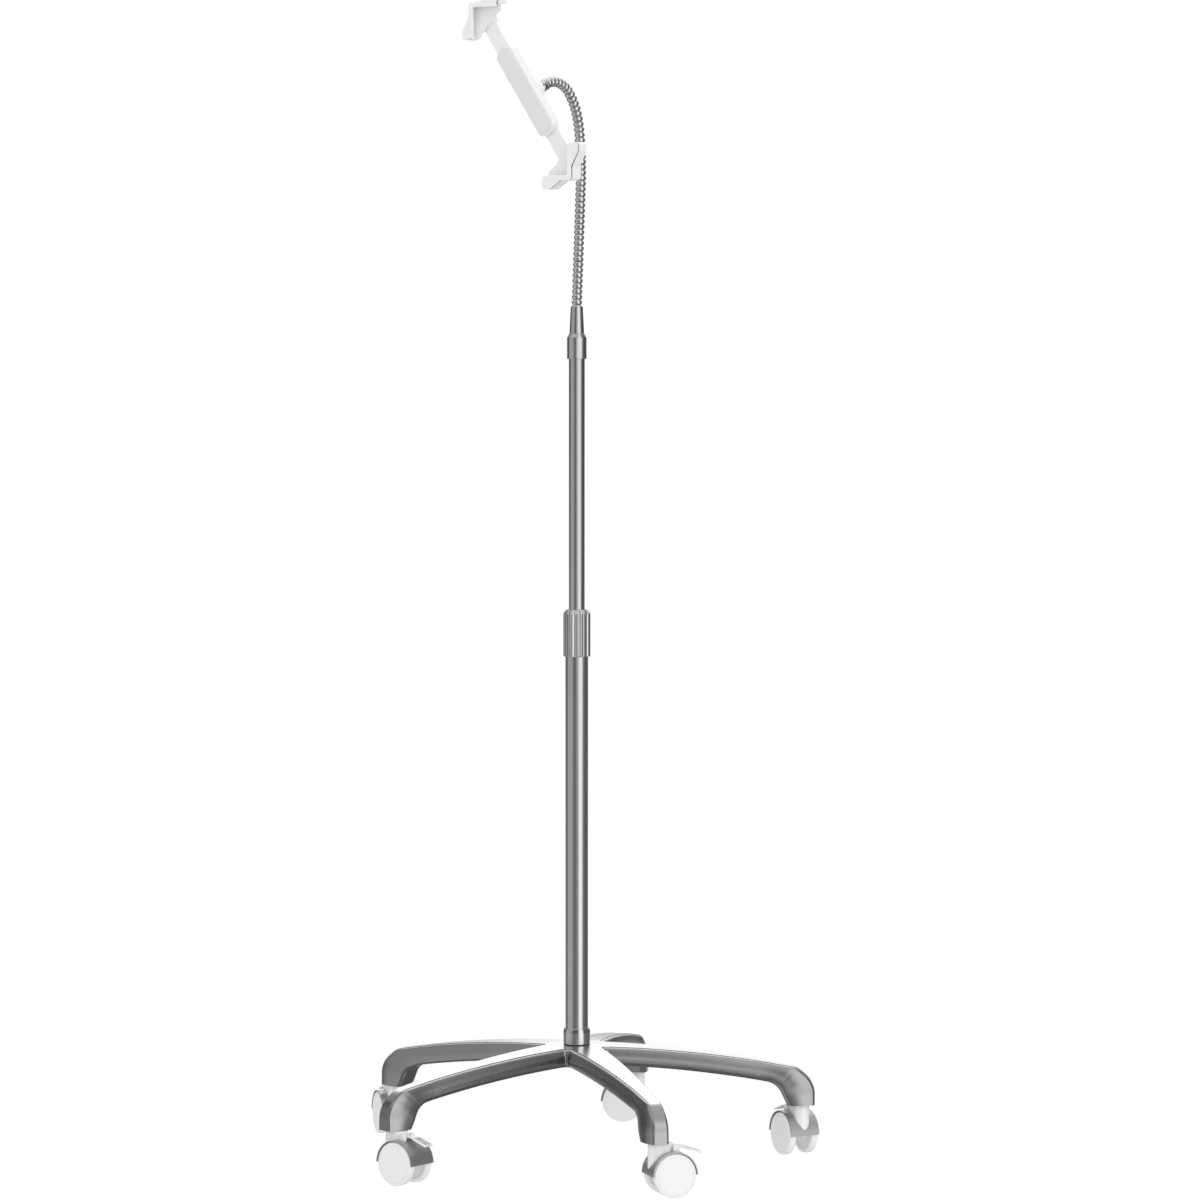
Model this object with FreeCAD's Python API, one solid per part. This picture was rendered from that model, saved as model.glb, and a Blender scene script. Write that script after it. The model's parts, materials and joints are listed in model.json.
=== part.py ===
import FreeCAD, Part

"""Gooseneck floor stand: rolling five-arm base, telescopic pole, ribbed neck and corner-grip
holder.

Millimetres. The origin is on the pole's axis at floor level, +Z is up, and the holder faces -Y.
"""
import math
import os

from FreeCAD import Placement, Rotation, Vector

# Base casting
arm_count = 5
base_turn = 42.0
stem_circle_r = 316.0
hub_top_z = 160.0
hub_flat_r = 28.0
hub_depth = 26.0
arm_root_x = 10.0
arm_bow = 6.0
knee_back = 7.0
knee_top_z = 126.5
knee_round = 12.0
elbow_round = 48.0
elbow_drop = 16.5
leg_bottom_z = 73.0
leg_out = 18.5
leg_in = 20.5
inner_elbow_round = 50.0
inner_leg_lean = 25.0
elbow_from_stem = 64.0
elbow_sections = 9
arm_depth_out = 28.0
hub_half_width = 27.0
knee_half_width = 11.2
arm_edge_round = 3.5
arm_belly_round = 7.0
flank_top_angle = 78.0
flank_low_angle = 93.0
casting_wall = 5.0
channel_side_inset = 7.0
channel_from_hub = 18.0
channel_from_leg = 34.0
channel_round = 6.0
bolt_clearance = 0.5
bolt_recess_depth = 8.0
bolt_recess_gap = 1.5

# Pole
lower_pole_r = 16.0
lower_pole_wall = 1.5
lower_pole_in_collar = 42.0
pole_seat_z = 148.0
upper_pole_r = 11.0
upper_pole_wall = 1.3
upper_pole_bottom_z = 520.0
upper_pole_inside_collar = 20.0
glide_bush_height = 30.0
glide_bush_gap = 0.02
base_collar_r = 19.0
base_collar_height = 16.0
base_collar_bevel = 6.0
base_collar_lip = 1.2
gasket_height = 1.2
gasket_inset = 0.7
foot_insert_height = 22.0
bolt_end = 18.0
bolt_head_height = 6.4
washer_height = 2.0
lock_collar_r = 19.0
lock_collar_bottom_z = 706.0
lock_collar_height = 60.0
lock_collar_bevel = 6.0
flute_count = 12
flute_r = 2.2
flute_end = 6.0
collet_shoulder = 5.0
collet_lip = 1.3
collet_slot = 1.2
collar_lid = 2.0
neck_collar_r = 13.5
neck_collar_bottom_z = 1121.0
neck_collar_height = 30.0
neck_collar_bevel = 5.0
cone_height = 40.0
cone_base_r = 10.2
cone_top_r = 8.4
cone_step = 1.5
neck_root_gap = 0.3
bolt_r = 5.0

# Ribbed neck
neck_lean = 2.9
neck_straight = 165.0
neck_bends = ((420.0, 9.9), (150.0, 9.0), (88.0, 24.0), (42.0, 74.0))
rib_count = 47
rib_r = 7.3
rib_shoulder_r = 6.5
rib_shoulder_share = 0.28
valley_r = 5.2
neck_bore_r = 3.2
pivot_ribs = (3, 12, 21, 30, 38)
bead_gap = 0.3

# Ball joint
ball_r = 8.5
stud_neck_r = 3.6
stud_length = 13.0
ferrule_r = 8.0
ferrule_length = 13.0
ferrule_floor = 4.0
stud_flange = 2.0
socket_opening = 74.0
bush_wall = 1.6
boss_wall = 2.2
nut_wall = 2.6
ball_behind_shell = 8.0
bush_front = 1.2
boss_back = 3.0
nut_back = 5.0
nut_front = 1.0
nut_flute_r = 1.4

# Holder
device_width = 178.0
device_height = 240.0
device_gap = 8.4
device_front_y = -120.0
lip_thickness = 2.5
lip_overlap = 4.0
grip_wall = 3.0
grip_pad = 0.8
grip_arm = 46.0
ear_reach = 12.0
ear_length = 30.0
ear_depth = 20.0
ear_behind_lip = 0.6
grip_outer_round = 5.0
grip_edge_round = 1.2
pad_thickness = 1.5
shell_half_length = 72.0
shell_half_width = 15.6
shell_depth = 13.0
shell_round = 11.0
pad_inset = 3.0
bar_width = 22.0
bar_thickness = 2.8
bar_overlap = 22.0
gusset_inset = 36.0
gusset_cover = 1.6
gusset_end = 13.0
gusset_margin = 1.8
grip_back = 2.6
screw_r = 1.0
screw_head_r = 1.9
screw_head_height = 1.3
screw_inset = 14.0
screw_gap = 0.02
front_skin = 1.2
pinion_pitch_r = 4.8
pinion_teeth = 12
tooth_height = 1.6
tooth_root_share = 0.34
tooth_crest_share = 0.12
tooth_play = 0.2
window_end = 1.0
pinion_pin_r = 1.6
arm_opens = 26.0
arm_closes = 30.0

# Casters, each drawn with its stem on the Z axis and trailing along +X
trail_directions = (157.0, 217.0, 147.0, 0.0, 60.0)
wheel_r = 30.0
caster_width = 45.0
trail = 20.0
caster_neck_width = 22.5
caster_neck_length = 33.0
fender_wall = 1.6
fender_gap = 0.7
hood_depth = 24.0
stem_r = 5.5
stem_length = 38.0
stem_pin_r = 4.0
stem_pin_low = 46.0
axle_r = 3.0
wheel_hub_r = 8.0
lever_pin_x = 25.0
lever_pin_z = 66.0
lever_barrel_r = 3.0
ear_wall = 1.4
lever_knee = 14.0
lever_pin_r = 1.5
lever_width = 12.4
pedal_width = 17.0
pedal_end_x = 64.0
pedal_end_z = 56.0
lever_thickness = 2.6

# Clearances
running = 0.05
seat = 0.05
swivel_gap = 0.3
side_gap = 0.5

X = Vector(1, 0, 0)
Y = Vector(0, 1, 0)
Z = Vector(0, 0, 1)


def cylinder(radius, low, high, bore=0.0):
    """A disc or ring about the Z axis from low to high."""
    solid = Part.makeCylinder(radius, high - low, Vector(0, 0, low))
    if bore > 0:
        solid = solid.cut(Part.makeCylinder(bore, high - low + 2, Vector(0, 0, low - 1)))
    return solid


def box(low, high):
    """A block between two corners."""
    size = high - low
    return Part.makeBox(size.x, size.y, size.z, low)


def lathe(points):
    """A body of revolution about Z from (radius, height) points."""
    wire = Part.makePolygon([Vector(r, 0, z) for r, z in points + [points[0]]])
    return Part.Face(wire).revolve(Vector(0, 0, 0), Z, 360)


def rounded_outline(corners):
    """A closed wire in the XZ plane from (x, z, corner radius) points."""
    count = len(corners)
    arcs = []
    for i in range(count):
        x, z, radius = corners[i]
        here = Vector(x, 0, z)
        before = Vector(corners[i - 1][0], 0, corners[i - 1][1]) - here
        after = Vector(corners[(i + 1) % count][0], 0, corners[(i + 1) % count][1]) - here
        if radius <= 0:
            arcs.append((here, here, here))
            continue
        before.normalize()
        after.normalize()
        half = before.getAngle(after) / 2
        reach = radius / math.tan(half)
        middle = before + after
        middle.normalize()
        crest = here + middle * (radius / math.sin(half) - radius)
        arcs.append((here + before * reach, crest, here + after * reach))
    edges = []
    for i in range(count):
        start, crest, end = arcs[i]
        if (end - start).Length > 1e-6:
            edges.append(Part.Arc(start, crest, end).toShape())
        following = arcs[(i + 1) % count][0]
        if (following - end).Length > 1e-6:
            edges.append(Part.LineSegment(end, following).toShape())
    return Part.Wire(edges)


def slab(corners, y_low, y_high):
    """The outline of (x, z, corner radius) points, thick from y_low to y_high."""
    face = Part.Face(rounded_outline(corners))
    face.translate(Vector(0, y_low, 0))
    return face.extrude(Vector(0, y_high - y_low, 0))


def rectangle(x0, z0, x1, z1, radius):
    """Corner list of an upright rectangle with round corners."""
    return [(x0, z0, radius), (x1, z0, radius), (x1, z1, radius), (x0, z1, radius)]


def turned(shape, angle, centre=Vector(0, 0, 0), axis=Z):
    """A copy of the shape, turned about an axis through a point."""
    result = shape.copy()
    result.rotate(centre, axis, angle)
    return result


def moved(shape, offset):
    """A shifted copy of the shape."""
    result = shape.copy()
    result.translate(offset)
    return result


def fuse(shapes):
    """One solid from several that touch or overlap."""
    return shapes[0].multiFuse(shapes[1:]).removeSplitter()


def write(name, *solids):
    """One STEP file for a node; several solids stay separate in one compound."""
    shape = solids[0] if len(solids) == 1 else Part.makeCompound(list(solids))
    shape.exportStep("parts/%s.step" % name)


# Base casting

def half_top(x):
    """Half the width of an arm's top, before its edge is rounded."""
    crotch_r = hub_half_width / math.tan(math.pi / arm_count)
    knee_r = stem_circle_r - knee_back
    taper = (hub_half_width - knee_half_width) / (knee_r - crotch_r)
    return hub_half_width - taper * (min(x, knee_r) - crotch_r)


def arm_line(x, hub_z, knee_z):
    """Height over x of a line from the hub's flat to the knee that bows upwards."""
    share = max(0.0, (x - hub_flat_r) / (stem_circle_r - knee_back - hub_flat_r))
    return hub_z + share * (knee_z - hub_z) + 4 * arm_bow * share * (1 - share)


def rounded_path(corners):
    """An open wire in the XZ plane with (x, z, corner radius) points, without the outline's closing lines."""
    return Part.Wire(rounded_outline(corners + [(0, 0, 0)]).Edges[:-2])


def arm_stations():
    """Top and belly points of the sections along an arm, from the hub to the leg's foot."""
    hub_low = hub_top_z - hub_depth
    knee_low = knee_top_z - arm_depth_out
    elbow_x = stem_circle_r - elbow_from_stem
    straight = [arm_root_x] + [hub_flat_r + (elbow_x - hub_flat_r) * k / 6 for k in range(6)]
    stations = [(Vector(x, 0, arm_line(x, hub_top_z, knee_top_z)),
                 Vector(x, 0, arm_line(x, hub_low, knee_low))) for x in straight]
    return stations + elbow_stations(elbow_x, arm_line(elbow_x, hub_low, knee_low), knee_low)


def elbow_stations(elbow_x, belly_z, knee_low):
    """The sections that fan out round the elbow, from the straight of the arm down to the foot."""
    knee_r = stem_circle_r - knee_back
    leg_outer = stem_circle_r + leg_out
    leg_inner = stem_circle_r - leg_in
    lean = math.tan(math.radians(inner_leg_lean))
    slope = (knee_low - belly_z) / (knee_r - elbow_x)
    meet_z = (belly_z + slope * (leg_inner + lean * leg_bottom_z - elbow_x)) / (1 + slope * lean)
    meet_x = leg_inner - lean * (meet_z - leg_bottom_z)
    top = rounded_path([(elbow_x, arm_line(elbow_x, hub_top_z, knee_top_z), 0),
                        (knee_r, knee_top_z, knee_round),
                        (leg_outer, knee_top_z - elbow_drop, elbow_round), (leg_outer, leg_bottom_z, 0)])
    belly = rounded_path([(elbow_x, belly_z, 0), (meet_x, meet_z, inner_elbow_round),
                          (leg_inner, leg_bottom_z, 0)])
    return list(zip(top.discretize(Number=elbow_sections), belly.discretize(Number=elbow_sections)))


def arm_ring(top, belly):
    """Section of an arm: flat top and belly, rounded edges and bulging sides."""
    down = belly - top
    depth = down.Length
    down.normalize()
    steep = math.radians(flank_top_angle)
    tuck = math.radians(flank_low_angle)
    used = arm_edge_round * (1 - math.cos(steep)) + arm_belly_round * (1 + math.cos(tuck))
    flank_round = (depth - used) / (math.cos(steep) - math.cos(tuck))
    across = half_top(top.x) - arm_edge_round * math.tan(steep / 2)
    drop = 0.0
    half = []
    for radius, start, end in ((arm_edge_round, 0.0, steep), (flank_round, steep, tuck),
                               (arm_belly_round, tuck, math.pi)):
        points = []
        for angle in (start, (start + end) / 2, end):
            points.append((across + radius * (math.sin(angle) - math.sin(start)),
                           drop + radius * (math.cos(start) - math.cos(angle))))
        half.append(points)
        across, drop = points[-1]
    near = [[top + Y * y + down * z for y, z in points] for points in half]
    far = [[top - Y * y + down * z for y, z in reversed(points)] for points in reversed(half)]
    high = Part.LineSegment(far[-1][-1], near[0][0]).toShape()
    low = Part.LineSegment(near[-1][-1], far[0][0]).toShape()
    near_arcs = [Part.Arc(*points).toShape() for points in near]
    far_arcs = [Part.Arc(*points).toShape() for points in far]
    return Part.Wire([high] + near_arcs + [low] + far_arcs)


def channel_solid():
    """The hollow under an arm, between the hub and the leg."""
    near_x = hub_flat_r + channel_from_hub
    far_x = stem_circle_r - leg_in - channel_from_leg
    middle_x = (near_x + far_x) / 2
    roof = [(x, arm_line(x, hub_top_z, knee_top_z) - casting_wall) for x in (near_x, middle_x, far_x)]
    profile = slab([(near_x, leg_bottom_z, 0), roof[0] + (channel_round,), roof[1] + (0,),
                    roof[2] + (channel_round,), (far_x, leg_bottom_z, 0)], -hub_half_width, hub_half_width)
    near_half = half_top(near_x) - channel_side_inset
    far_half = half_top(far_x) - channel_side_inset
    plan = Part.makePolygon([Vector(near_x, -near_half, 0), Vector(far_x, -far_half, 0),
                             Vector(far_x, far_half, 0), Vector(near_x, near_half, 0),
                             Vector(near_x, -near_half, 0)])
    return profile.common(Part.Face(plan).extrude(Vector(0, 0, hub_top_z)))


def arm_solid():
    """One arm along +X with its elbow, leg, bulging sides, stem bore and open channel below."""
    arm = Part.makeLoft([arm_ring(top, belly) for top, belly in arm_stations()], True)
    arm = arm.cut(channel_solid())
    bore = Part.makeCylinder(stem_r + seat, stem_length + 2, Vector(stem_circle_r, 0, leg_bottom_z - 1))
    arm = arm.cut(bore)
    half_side = 2 * stem_circle_r * math.tan(math.pi / arm_count)
    sector = Part.makePolygon([Vector(0, 0, 0), Vector(2 * stem_circle_r, -half_side, 0),
                               Vector(2 * stem_circle_r, half_side, 0), Vector(0, 0, 0)])
    return arm.common(Part.Face(sector).extrude(Vector(0, 0, hub_top_z)))


def base_casting():
    """Five-arm star; each arm fills its own fifth, so neighbours meet on flat faces."""
    arm = arm_solid()
    hub_low = hub_top_z - hub_depth
    star = fuse([turned(arm, base_turn + 360.0 / arm_count * k) for k in range(arm_count)]
                + [cylinder(hub_flat_r / 2, hub_low, hub_top_z)])
    socket = cylinder(lower_pole_r + seat, pole_seat_z, hub_top_z + 1)
    through = cylinder(bolt_r + bolt_clearance, hub_low - 1, hub_top_z)
    recess = cylinder(2.1 * bolt_r + bolt_recess_gap, hub_low - 1, hub_low + bolt_recess_depth)
    return star.cut(socket).cut(through).cut(recess)


def base_fittings():
    """Collar, gasket, foot insert and bolt that hold the pole on the hub."""
    foot = hub_top_z + gasket_height
    body_top = foot + base_collar_height
    collar = lathe([(lower_pole_r + seat, foot), (base_collar_r, foot), (base_collar_r, body_top),
                    (lower_pole_r + base_collar_lip, body_top + base_collar_bevel),
                    (lower_pole_r + seat, body_top + base_collar_bevel)])
    gasket = cylinder(base_collar_r - gasket_inset, hub_top_z, foot, lower_pole_r + seat)
    insert_r = lower_pole_r - lower_pole_wall - seat
    insert = cylinder(insert_r, pole_seat_z, pole_seat_z + foot_insert_height, bolt_r + seat)
    washer_top = hub_top_z - hub_depth + bolt_recess_depth
    head_top = washer_top - washer_height
    washer = cylinder(2.1 * bolt_r, head_top, washer_top, bolt_r + seat)
    corner = Vector(1.9 * bolt_r, 0, head_top - bolt_head_height)
    hexagon = Part.makePolygon([Rotation(Z, 60 * k).multVec(corner) for k in range(7)])
    head = Part.Face(hexagon).extrude(Vector(0, 0, bolt_head_height))
    bolt = fuse([head, cylinder(bolt_r, head_top - 0.1, pole_seat_z + bolt_end)])
    return collar, gasket, insert, bolt, washer


# Pole

lower_pole_top_z = lock_collar_bottom_z + lower_pole_in_collar


def collet():
    """The slotted cone that grips the inner tube when the lock collar is turned."""
    low = lower_pole_top_z + seat
    high = lock_collar_bottom_z + lock_collar_height + lock_collar_bevel - collar_lid - side_gap
    inner = upper_pole_r + running
    outer = lower_pole_r - 0.2
    half = collet_slot / 2
    cone = lathe([(inner, low), (outer, low), (outer, low + collet_shoulder), (inner + collet_lip, high),
                  (inner, high)])
    for k in range(4):
        slot = box(Vector(upper_pole_r - 2, -half, low + collet_shoulder - 1),
                   Vector(lower_pole_r + 2, half, high + 1))
        cone = cone.cut(turned(slot, 90 * k))
    return cone


def lock_collar():
    """Fluted collar that screws down over the lower tube's end."""
    low = lock_collar_bottom_z
    body_top = low + lock_collar_height
    high = body_top + lock_collar_bevel
    thread = lower_pole_r + running
    cone_low = lower_pole_top_z + collet_shoulder + side_gap
    collar = lathe([(thread, low), (lock_collar_r, low), (lock_collar_r, body_top),
                    (upper_pole_r + 3.4, high), (upper_pole_r + running, high),
                    (upper_pole_r + running, high - collar_lid), (upper_pole_r + 1.9, high - collar_lid),
                    (thread, cone_low)])
    ring_r = lock_collar_r + 0.45 * flute_r
    for k in range(flute_count):
        angle = math.radians(360.0 / flute_count * k)
        centre = Vector(ring_r * math.cos(angle), ring_r * math.sin(angle), low + flute_end + 1)
        collar = collar.cut(Part.makeCylinder(flute_r, lock_collar_height - 2 * flute_end, centre))
    return collar


def pole_pieces():
    """Lower tube, upper tube and the bush that guides the upper one inside the lower one."""
    lower = cylinder(lower_pole_r, pole_seat_z, lower_pole_top_z, lower_pole_r - lower_pole_wall)
    shoulder = neck_collar_bottom_z + upper_pole_inside_collar
    upper = cylinder(upper_pole_r, upper_pole_bottom_z, shoulder, upper_pole_r - upper_pole_wall)
    inner = upper_pole_r + glide_bush_gap
    outer = lower_pole_r - lower_pole_wall - running
    low = upper_pole_bottom_z
    high = low + glide_bush_height
    bush = lathe([(inner, low), (outer, low), (outer, high - 2), (outer - 1, high), (inner, high)])
    return lower, upper, bush


def neck_mount():
    """Collar on top of the pole and the cone that holds the ribbed neck's root."""
    low = neck_collar_bottom_z
    high = low + neck_collar_height
    foot = high + neck_collar_bevel
    shoulder = low + upper_pole_inside_collar
    top = foot + cone_height - neck_root_gap
    root_r = cone_base_r - cone_step
    collar = lathe([(upper_pole_r + seat, low), (neck_collar_r, low), (neck_collar_r, high),
                    (cone_base_r + 1.2, foot), (root_r, foot), (root_r, shoulder),
                    (upper_pole_r + seat, shoulder)])
    cone = lathe([(neck_bore_r, shoulder + 2), (root_r - seat, shoulder + 2), (root_r - seat, foot),
                  (cone_base_r, foot), (cone_top_r, top - 2), (valley_r + 1.6, top), (neck_bore_r, top)])
    return collar, cone


# Ribbed neck

neck_root_z = neck_collar_bottom_z + neck_collar_height + neck_collar_bevel + cone_height
neck_length = neck_straight + sum(radius * math.radians(turn) for radius, turn in neck_bends)
rib_pitch = neck_length / rib_count


def neck_place(s):
    """Centre and direction of the neck's axis at the distance s from its root."""
    angle = math.radians(neck_lean)
    y = 0.0
    z = neck_root_z
    straight = min(s, neck_straight)
    y += straight * math.sin(angle)
    z += straight * math.cos(angle)
    left = s - neck_straight
    for radius, turn in neck_bends:
        if left <= 0:
            break
        sweep = min(math.radians(turn), left / radius)
        y += radius * (math.cos(angle - sweep) - math.cos(angle))
        z -= radius * (math.sin(angle - sweep) - math.sin(angle))
        angle -= sweep
        left -= radius * sweep
    along = Vector(0, math.sin(angle), math.cos(angle))
    return Vector(0, y, z) + along * max(left, 0), along


def ring(s, radius):
    """A circle round the neck's axis, its start always towards +X."""
    centre, along = neck_place(s)
    frame = Rotation(X, along.cross(X), along, "ZXY")
    circle = Part.Circle(Vector(0, 0, 0), Z, radius)
    edge = circle.toShape()
    edge.Placement = Placement(centre, frame)
    return Part.Wire([edge])


def ribs(first, last):
    """Ribs first to last of the neck, not yet bored."""
    rings = []
    for rib in range(first, last + 1):
        s = rib * rib_pitch
        near = rib_shoulder_share * rib_pitch
        rings += [ring(s, valley_r), ring(s + near, rib_shoulder_r), ring(s + 0.5 * rib_pitch, rib_r),
                  ring(s + rib_pitch - near, rib_shoulder_r)]
    rings.append(ring((last + 1) * rib_pitch, valley_r))
    return Part.makeLoft(rings, True, True)


def neck_bore(first, last):
    """The cable hole through ribs first to last and half a rib past each end."""
    rings = [ring((first - 1.4 + k) * rib_pitch, neck_bore_r) for k in range(last - first + 5)]
    return Part.makeLoft(rings, True, True)


def half_space(centre, along):
    """A block that covers everything beyond a plane, near the neck."""
    side = 4 * rib_r
    block = box(Vector(-side, -side, 0), Vector(side, side, side))
    block.Placement = Placement(centre, Rotation(X, along.cross(X), along, "ZXY"))
    return block


def neck_pieces():
    """The root and the turning segments; each ends in a ball that sits in the next one's cup."""
    starts = [0] + [rib + 1 for rib in pivot_ribs]
    ends = list(pivot_ribs) + [rib_count - 1]
    pieces = []
    for k in range(len(starts)):
        piece = ribs(starts[k], ends[k])
        if k < len(pivot_ribs):
            centre, along = neck_place((ends[k] + 0.5) * rib_pitch)
            piece = fuse([piece.cut(half_space(centre, along)), Part.makeSphere(rib_r, centre)])
        if k > 0:
            centre, along = neck_place((ends[k - 1] + 0.5) * rib_pitch)
            piece = piece.cut(Part.makeSphere(rib_r + bead_gap, centre))
        pieces.append(piece.cut(neck_bore(starts[k], ends[k])))
    return pieces


# Ball joint

neck_end, end_along = neck_place(neck_length)
ball_centre = neck_end + end_along * (ferrule_length + stud_length)
holder_z = ball_centre.z
shell_back_y = ball_centre.y - ball_behind_shell
shell_front_y = shell_back_y - shell_depth
pad_front_y = shell_front_y - pad_thickness


def ferrule():
    """End cap of the ribbed neck, threaded for the ball stud."""
    solid = lathe([(stud_neck_r + seat, ferrule_floor), (stud_neck_r + seat, ferrule_length),
                   (ferrule_r - 1, ferrule_length), (ferrule_r, ferrule_length - 1.5),
                   (ferrule_r, 1.5), (ferrule_r - 1, 0), (neck_bore_r, 0), (neck_bore_r, ferrule_floor)])
    solid.Placement = Placement(neck_end, Rotation(X, end_along.cross(X), end_along, "ZXY"))
    return solid


def ball_stud():
    """Ball on a threaded stem with a small flange above the ferrule."""
    reach = ferrule_length + stud_length
    stem = cylinder(stud_neck_r, ferrule_floor + 0.2, reach)
    foot = ferrule_length + swivel_gap
    flange = cylinder(stud_neck_r + stud_flange, foot, foot + stud_flange)
    ball = Part.makeSphere(ball_r, Vector(0, 0, reach))
    solid = fuse([stem, flange, ball])
    solid.Placement = Placement(neck_end, Rotation(X, end_along.cross(X), end_along, "ZXY"))
    return solid


def about_ball(solid):
    """Stands a body of revolution on the ball's centre, its +Z turned to the holder's back, +Y."""
    result = turned(solid, -90, Vector(0, 0, 0), X)
    result.translate(ball_centre)
    return result


bush_r = ball_r + bush_wall
boss_r = bush_r + boss_wall
nut_r = boss_r + nut_wall
rim = math.cos(math.radians(socket_opening)) * ball_r


def ball_bush():
    """Plastic lining between the ball and the holder's socket."""
    solid = cylinder(bush_r - running, -ball_r - bush_front, rim)
    solid = solid.cut(Part.makeSphere(ball_r + running, Vector(0, 0, 0)))
    return about_ball(solid)


def ball_nut():
    """Ribbed ring nut over the socket, its lip holding the lining."""
    front = nut_front - ball_behind_shell
    solid = lathe([(boss_r + running, front), (nut_r, front), (nut_r, nut_back - 1.5),
                   (nut_r - 1.5, nut_back), (bush_r - 0.4, nut_back), (bush_r - 0.8, boss_back + 0.1),
                   (boss_r + running, boss_back + 0.1)])
    for k in range(flute_count):
        angle = math.radians(360.0 / flute_count * k)
        centre = Vector((nut_r + 0.5) * math.cos(angle), (nut_r + 0.5) * math.sin(angle), front - 1)
        solid = solid.cut(Part.makeCylinder(nut_flute_r, nut_back - front + 3, centre))
    return about_ball(solid)


# Holder

half_w = device_width / 2
half_h = device_height / 2
diagonal = math.degrees(math.atan2(device_height, -device_width))
slide_turn = 90.0 - diagonal
device_back_y = device_front_y + device_gap


def on_holder(shape):
    """Moves a shape drawn about the holder's centre, in the XZ plane, to its place."""
    return moved(shape, Vector(0, 0, holder_z))


def along_diagonal(shape):
    """Turns a shape drawn along +Z about the holder's centre to the sliding diagonal."""
    return on_holder(turned(shape, slide_turn, Vector(0, 0, 0), Y))


def bar_layer(upper):
    """Front and back faces of one of the two stacked sliding bars."""
    front = (shell_front_y + shell_back_y) / 2 - bar_thickness - 0.5 * side_gap
    if upper:
        return front, front + bar_thickness
    return front + bar_thickness + side_gap / 2, front + 2 * bar_thickness + side_gap / 2


def shell_cavity():
    """The slot through both shells in which the bars slide."""
    half = bar_width / 2 + side_gap / 2
    outline = rectangle(-half, -2 * shell_half_length, half, 2 * shell_half_length, 0)
    return slab(outline, bar_layer(True)[0] - side_gap / 2, bar_layer(False)[1] + side_gap / 2)


def screw_places():
    """Centres of the four shell screws, beside the bars."""
    x = (bar_width / 2 + shell_half_width) / 2
    z = shell_half_length - screw_inset
    return [Vector(i * x, 0, j * z) for i in (-1, 1) for j in (-1, 1)]


def shells():
    """Front shell, back shell with the pinion's pin and the ball socket, and the screws."""
    split = bar_layer(True)[1]
    outline = rectangle(-shell_half_width, -shell_half_length,
                        shell_half_width, shell_half_length, shell_round)
    front = slab(outline, shell_front_y, split).cut(shell_cavity())
    back = slab(outline, split, shell_back_y).cut(shell_cavity())
    pin_front = bar_layer(True)[0]
    pin = Part.makeCylinder(pinion_pin_r, shell_back_y - 1 - pin_front, Vector(0, pin_front, 0), Y)
    back = fuse([back, pin])
    screws = []
    for place in screw_places():
        tip = place + Vector(0, shell_front_y + front_skin, 0)
        head = place + Vector(0, shell_back_y - screw_head_height, 0)
        screws.append(fuse([Part.makeCylinder(screw_r, head.y - tip.y + 0.5, tip, Y),
                            Part.makeCylinder(screw_head_r, screw_head_height, head, Y)]))
        hole = Part.makeCylinder(screw_r + screw_gap, head.y - tip.y + 1, tip, Y)
        back = back.cut(hole).cut(Part.makeCylinder(screw_head_r + seat, 2, head, Y))
        front = front.cut(hole)
    boss = about_ball(cylinder(boss_r, -ball_behind_shell - 1, boss_back))
    back = fuse([along_diagonal(back), boss])
    back = back.cut(about_ball(cylinder(bush_r, -ball_r - bush_front, boss_back + 1)))
    return along_diagonal(front), back, [along_diagonal(screw) for screw in screws]


def slide_bar(upper):
    """A sliding bar with its rack in a long window; the lower one is drawn half a turn round."""
    low_y, high_y = bar_layer(upper)
    tip_r = pinion_pitch_r + 0.5 * tooth_height
    low = -tip_r - arm_opens - window_end
    high = tip_r + arm_closes + window_end
    length = math.hypot(half_w, half_h) - bar_overlap
    bar = slab(rectangle(-bar_width / 2, low - 5, bar_width / 2, length, 2), low_y, high_y)
    bar = bar.cut(rack_window(low_y - 1, high_y + 1, low, high))
    if not upper:
        bar = turned(bar, 180, Vector(0, 0, 0), Y)
    return along_diagonal(bar)


def tooth_corners(root, crest):
    """The four corners of a tooth: distance from the middle line and share of the pitch."""
    return [(root, -tooth_root_share), (crest, -tooth_crest_share), (crest, tooth_crest_share),
            (root, tooth_root_share)]


def rack_window(low_y, high_y, low, high):
    """The long window of a bar, with the rack's teeth along its +X side."""
    pitch = 2 * math.pi * pinion_pitch_r / pinion_teeth
    crest = pinion_pitch_r - 0.5 * tooth_height + tooth_play
    root = pinion_pitch_r + 0.5 * tooth_height
    free = -root - 0.8
    points = [Vector(free, low_y, high), Vector(free, low_y, low)]
    first = math.ceil(low / pitch + 0.5)
    last = math.floor(high / pitch - 1)
    points.append(Vector(root, low_y, low))
    for k in range(first, last + 1):
        for x, share in tooth_corners(root, crest):
            points.append(Vector(x, low_y, (k + 0.5 + share) * pitch))
    points.append(Vector(root, low_y, high))
    return Part.Face(Part.makePolygon(points + [points[0]])).extrude(Vector(0, high_y - low_y, 0))


def pinion():
    """Small gear that makes the two bars slide together."""
    low_y = bar_layer(True)[0]
    high_y = bar_layer(False)[1]
    root = pinion_pitch_r - 0.5 * tooth_height
    tip = pinion_pitch_r + 0.5 * tooth_height - tooth_play
    points = []
    for k in range(pinion_teeth):
        for radius, share in tooth_corners(root, tip):
            angle = 2 * math.pi * (k + share) / pinion_teeth
            points.append(Vector(radius * math.cos(angle), low_y, radius * math.sin(angle)))
    gear = Part.Face(Part.makePolygon(points + [points[0]])).extrude(Vector(0, high_y - low_y, 0))
    gear = gear.cut(Part.makeCylinder(pinion_pin_r + running, high_y - low_y + 2, Vector(0, low_y - 1, 0), Y))
    return along_diagonal(gear)


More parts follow.
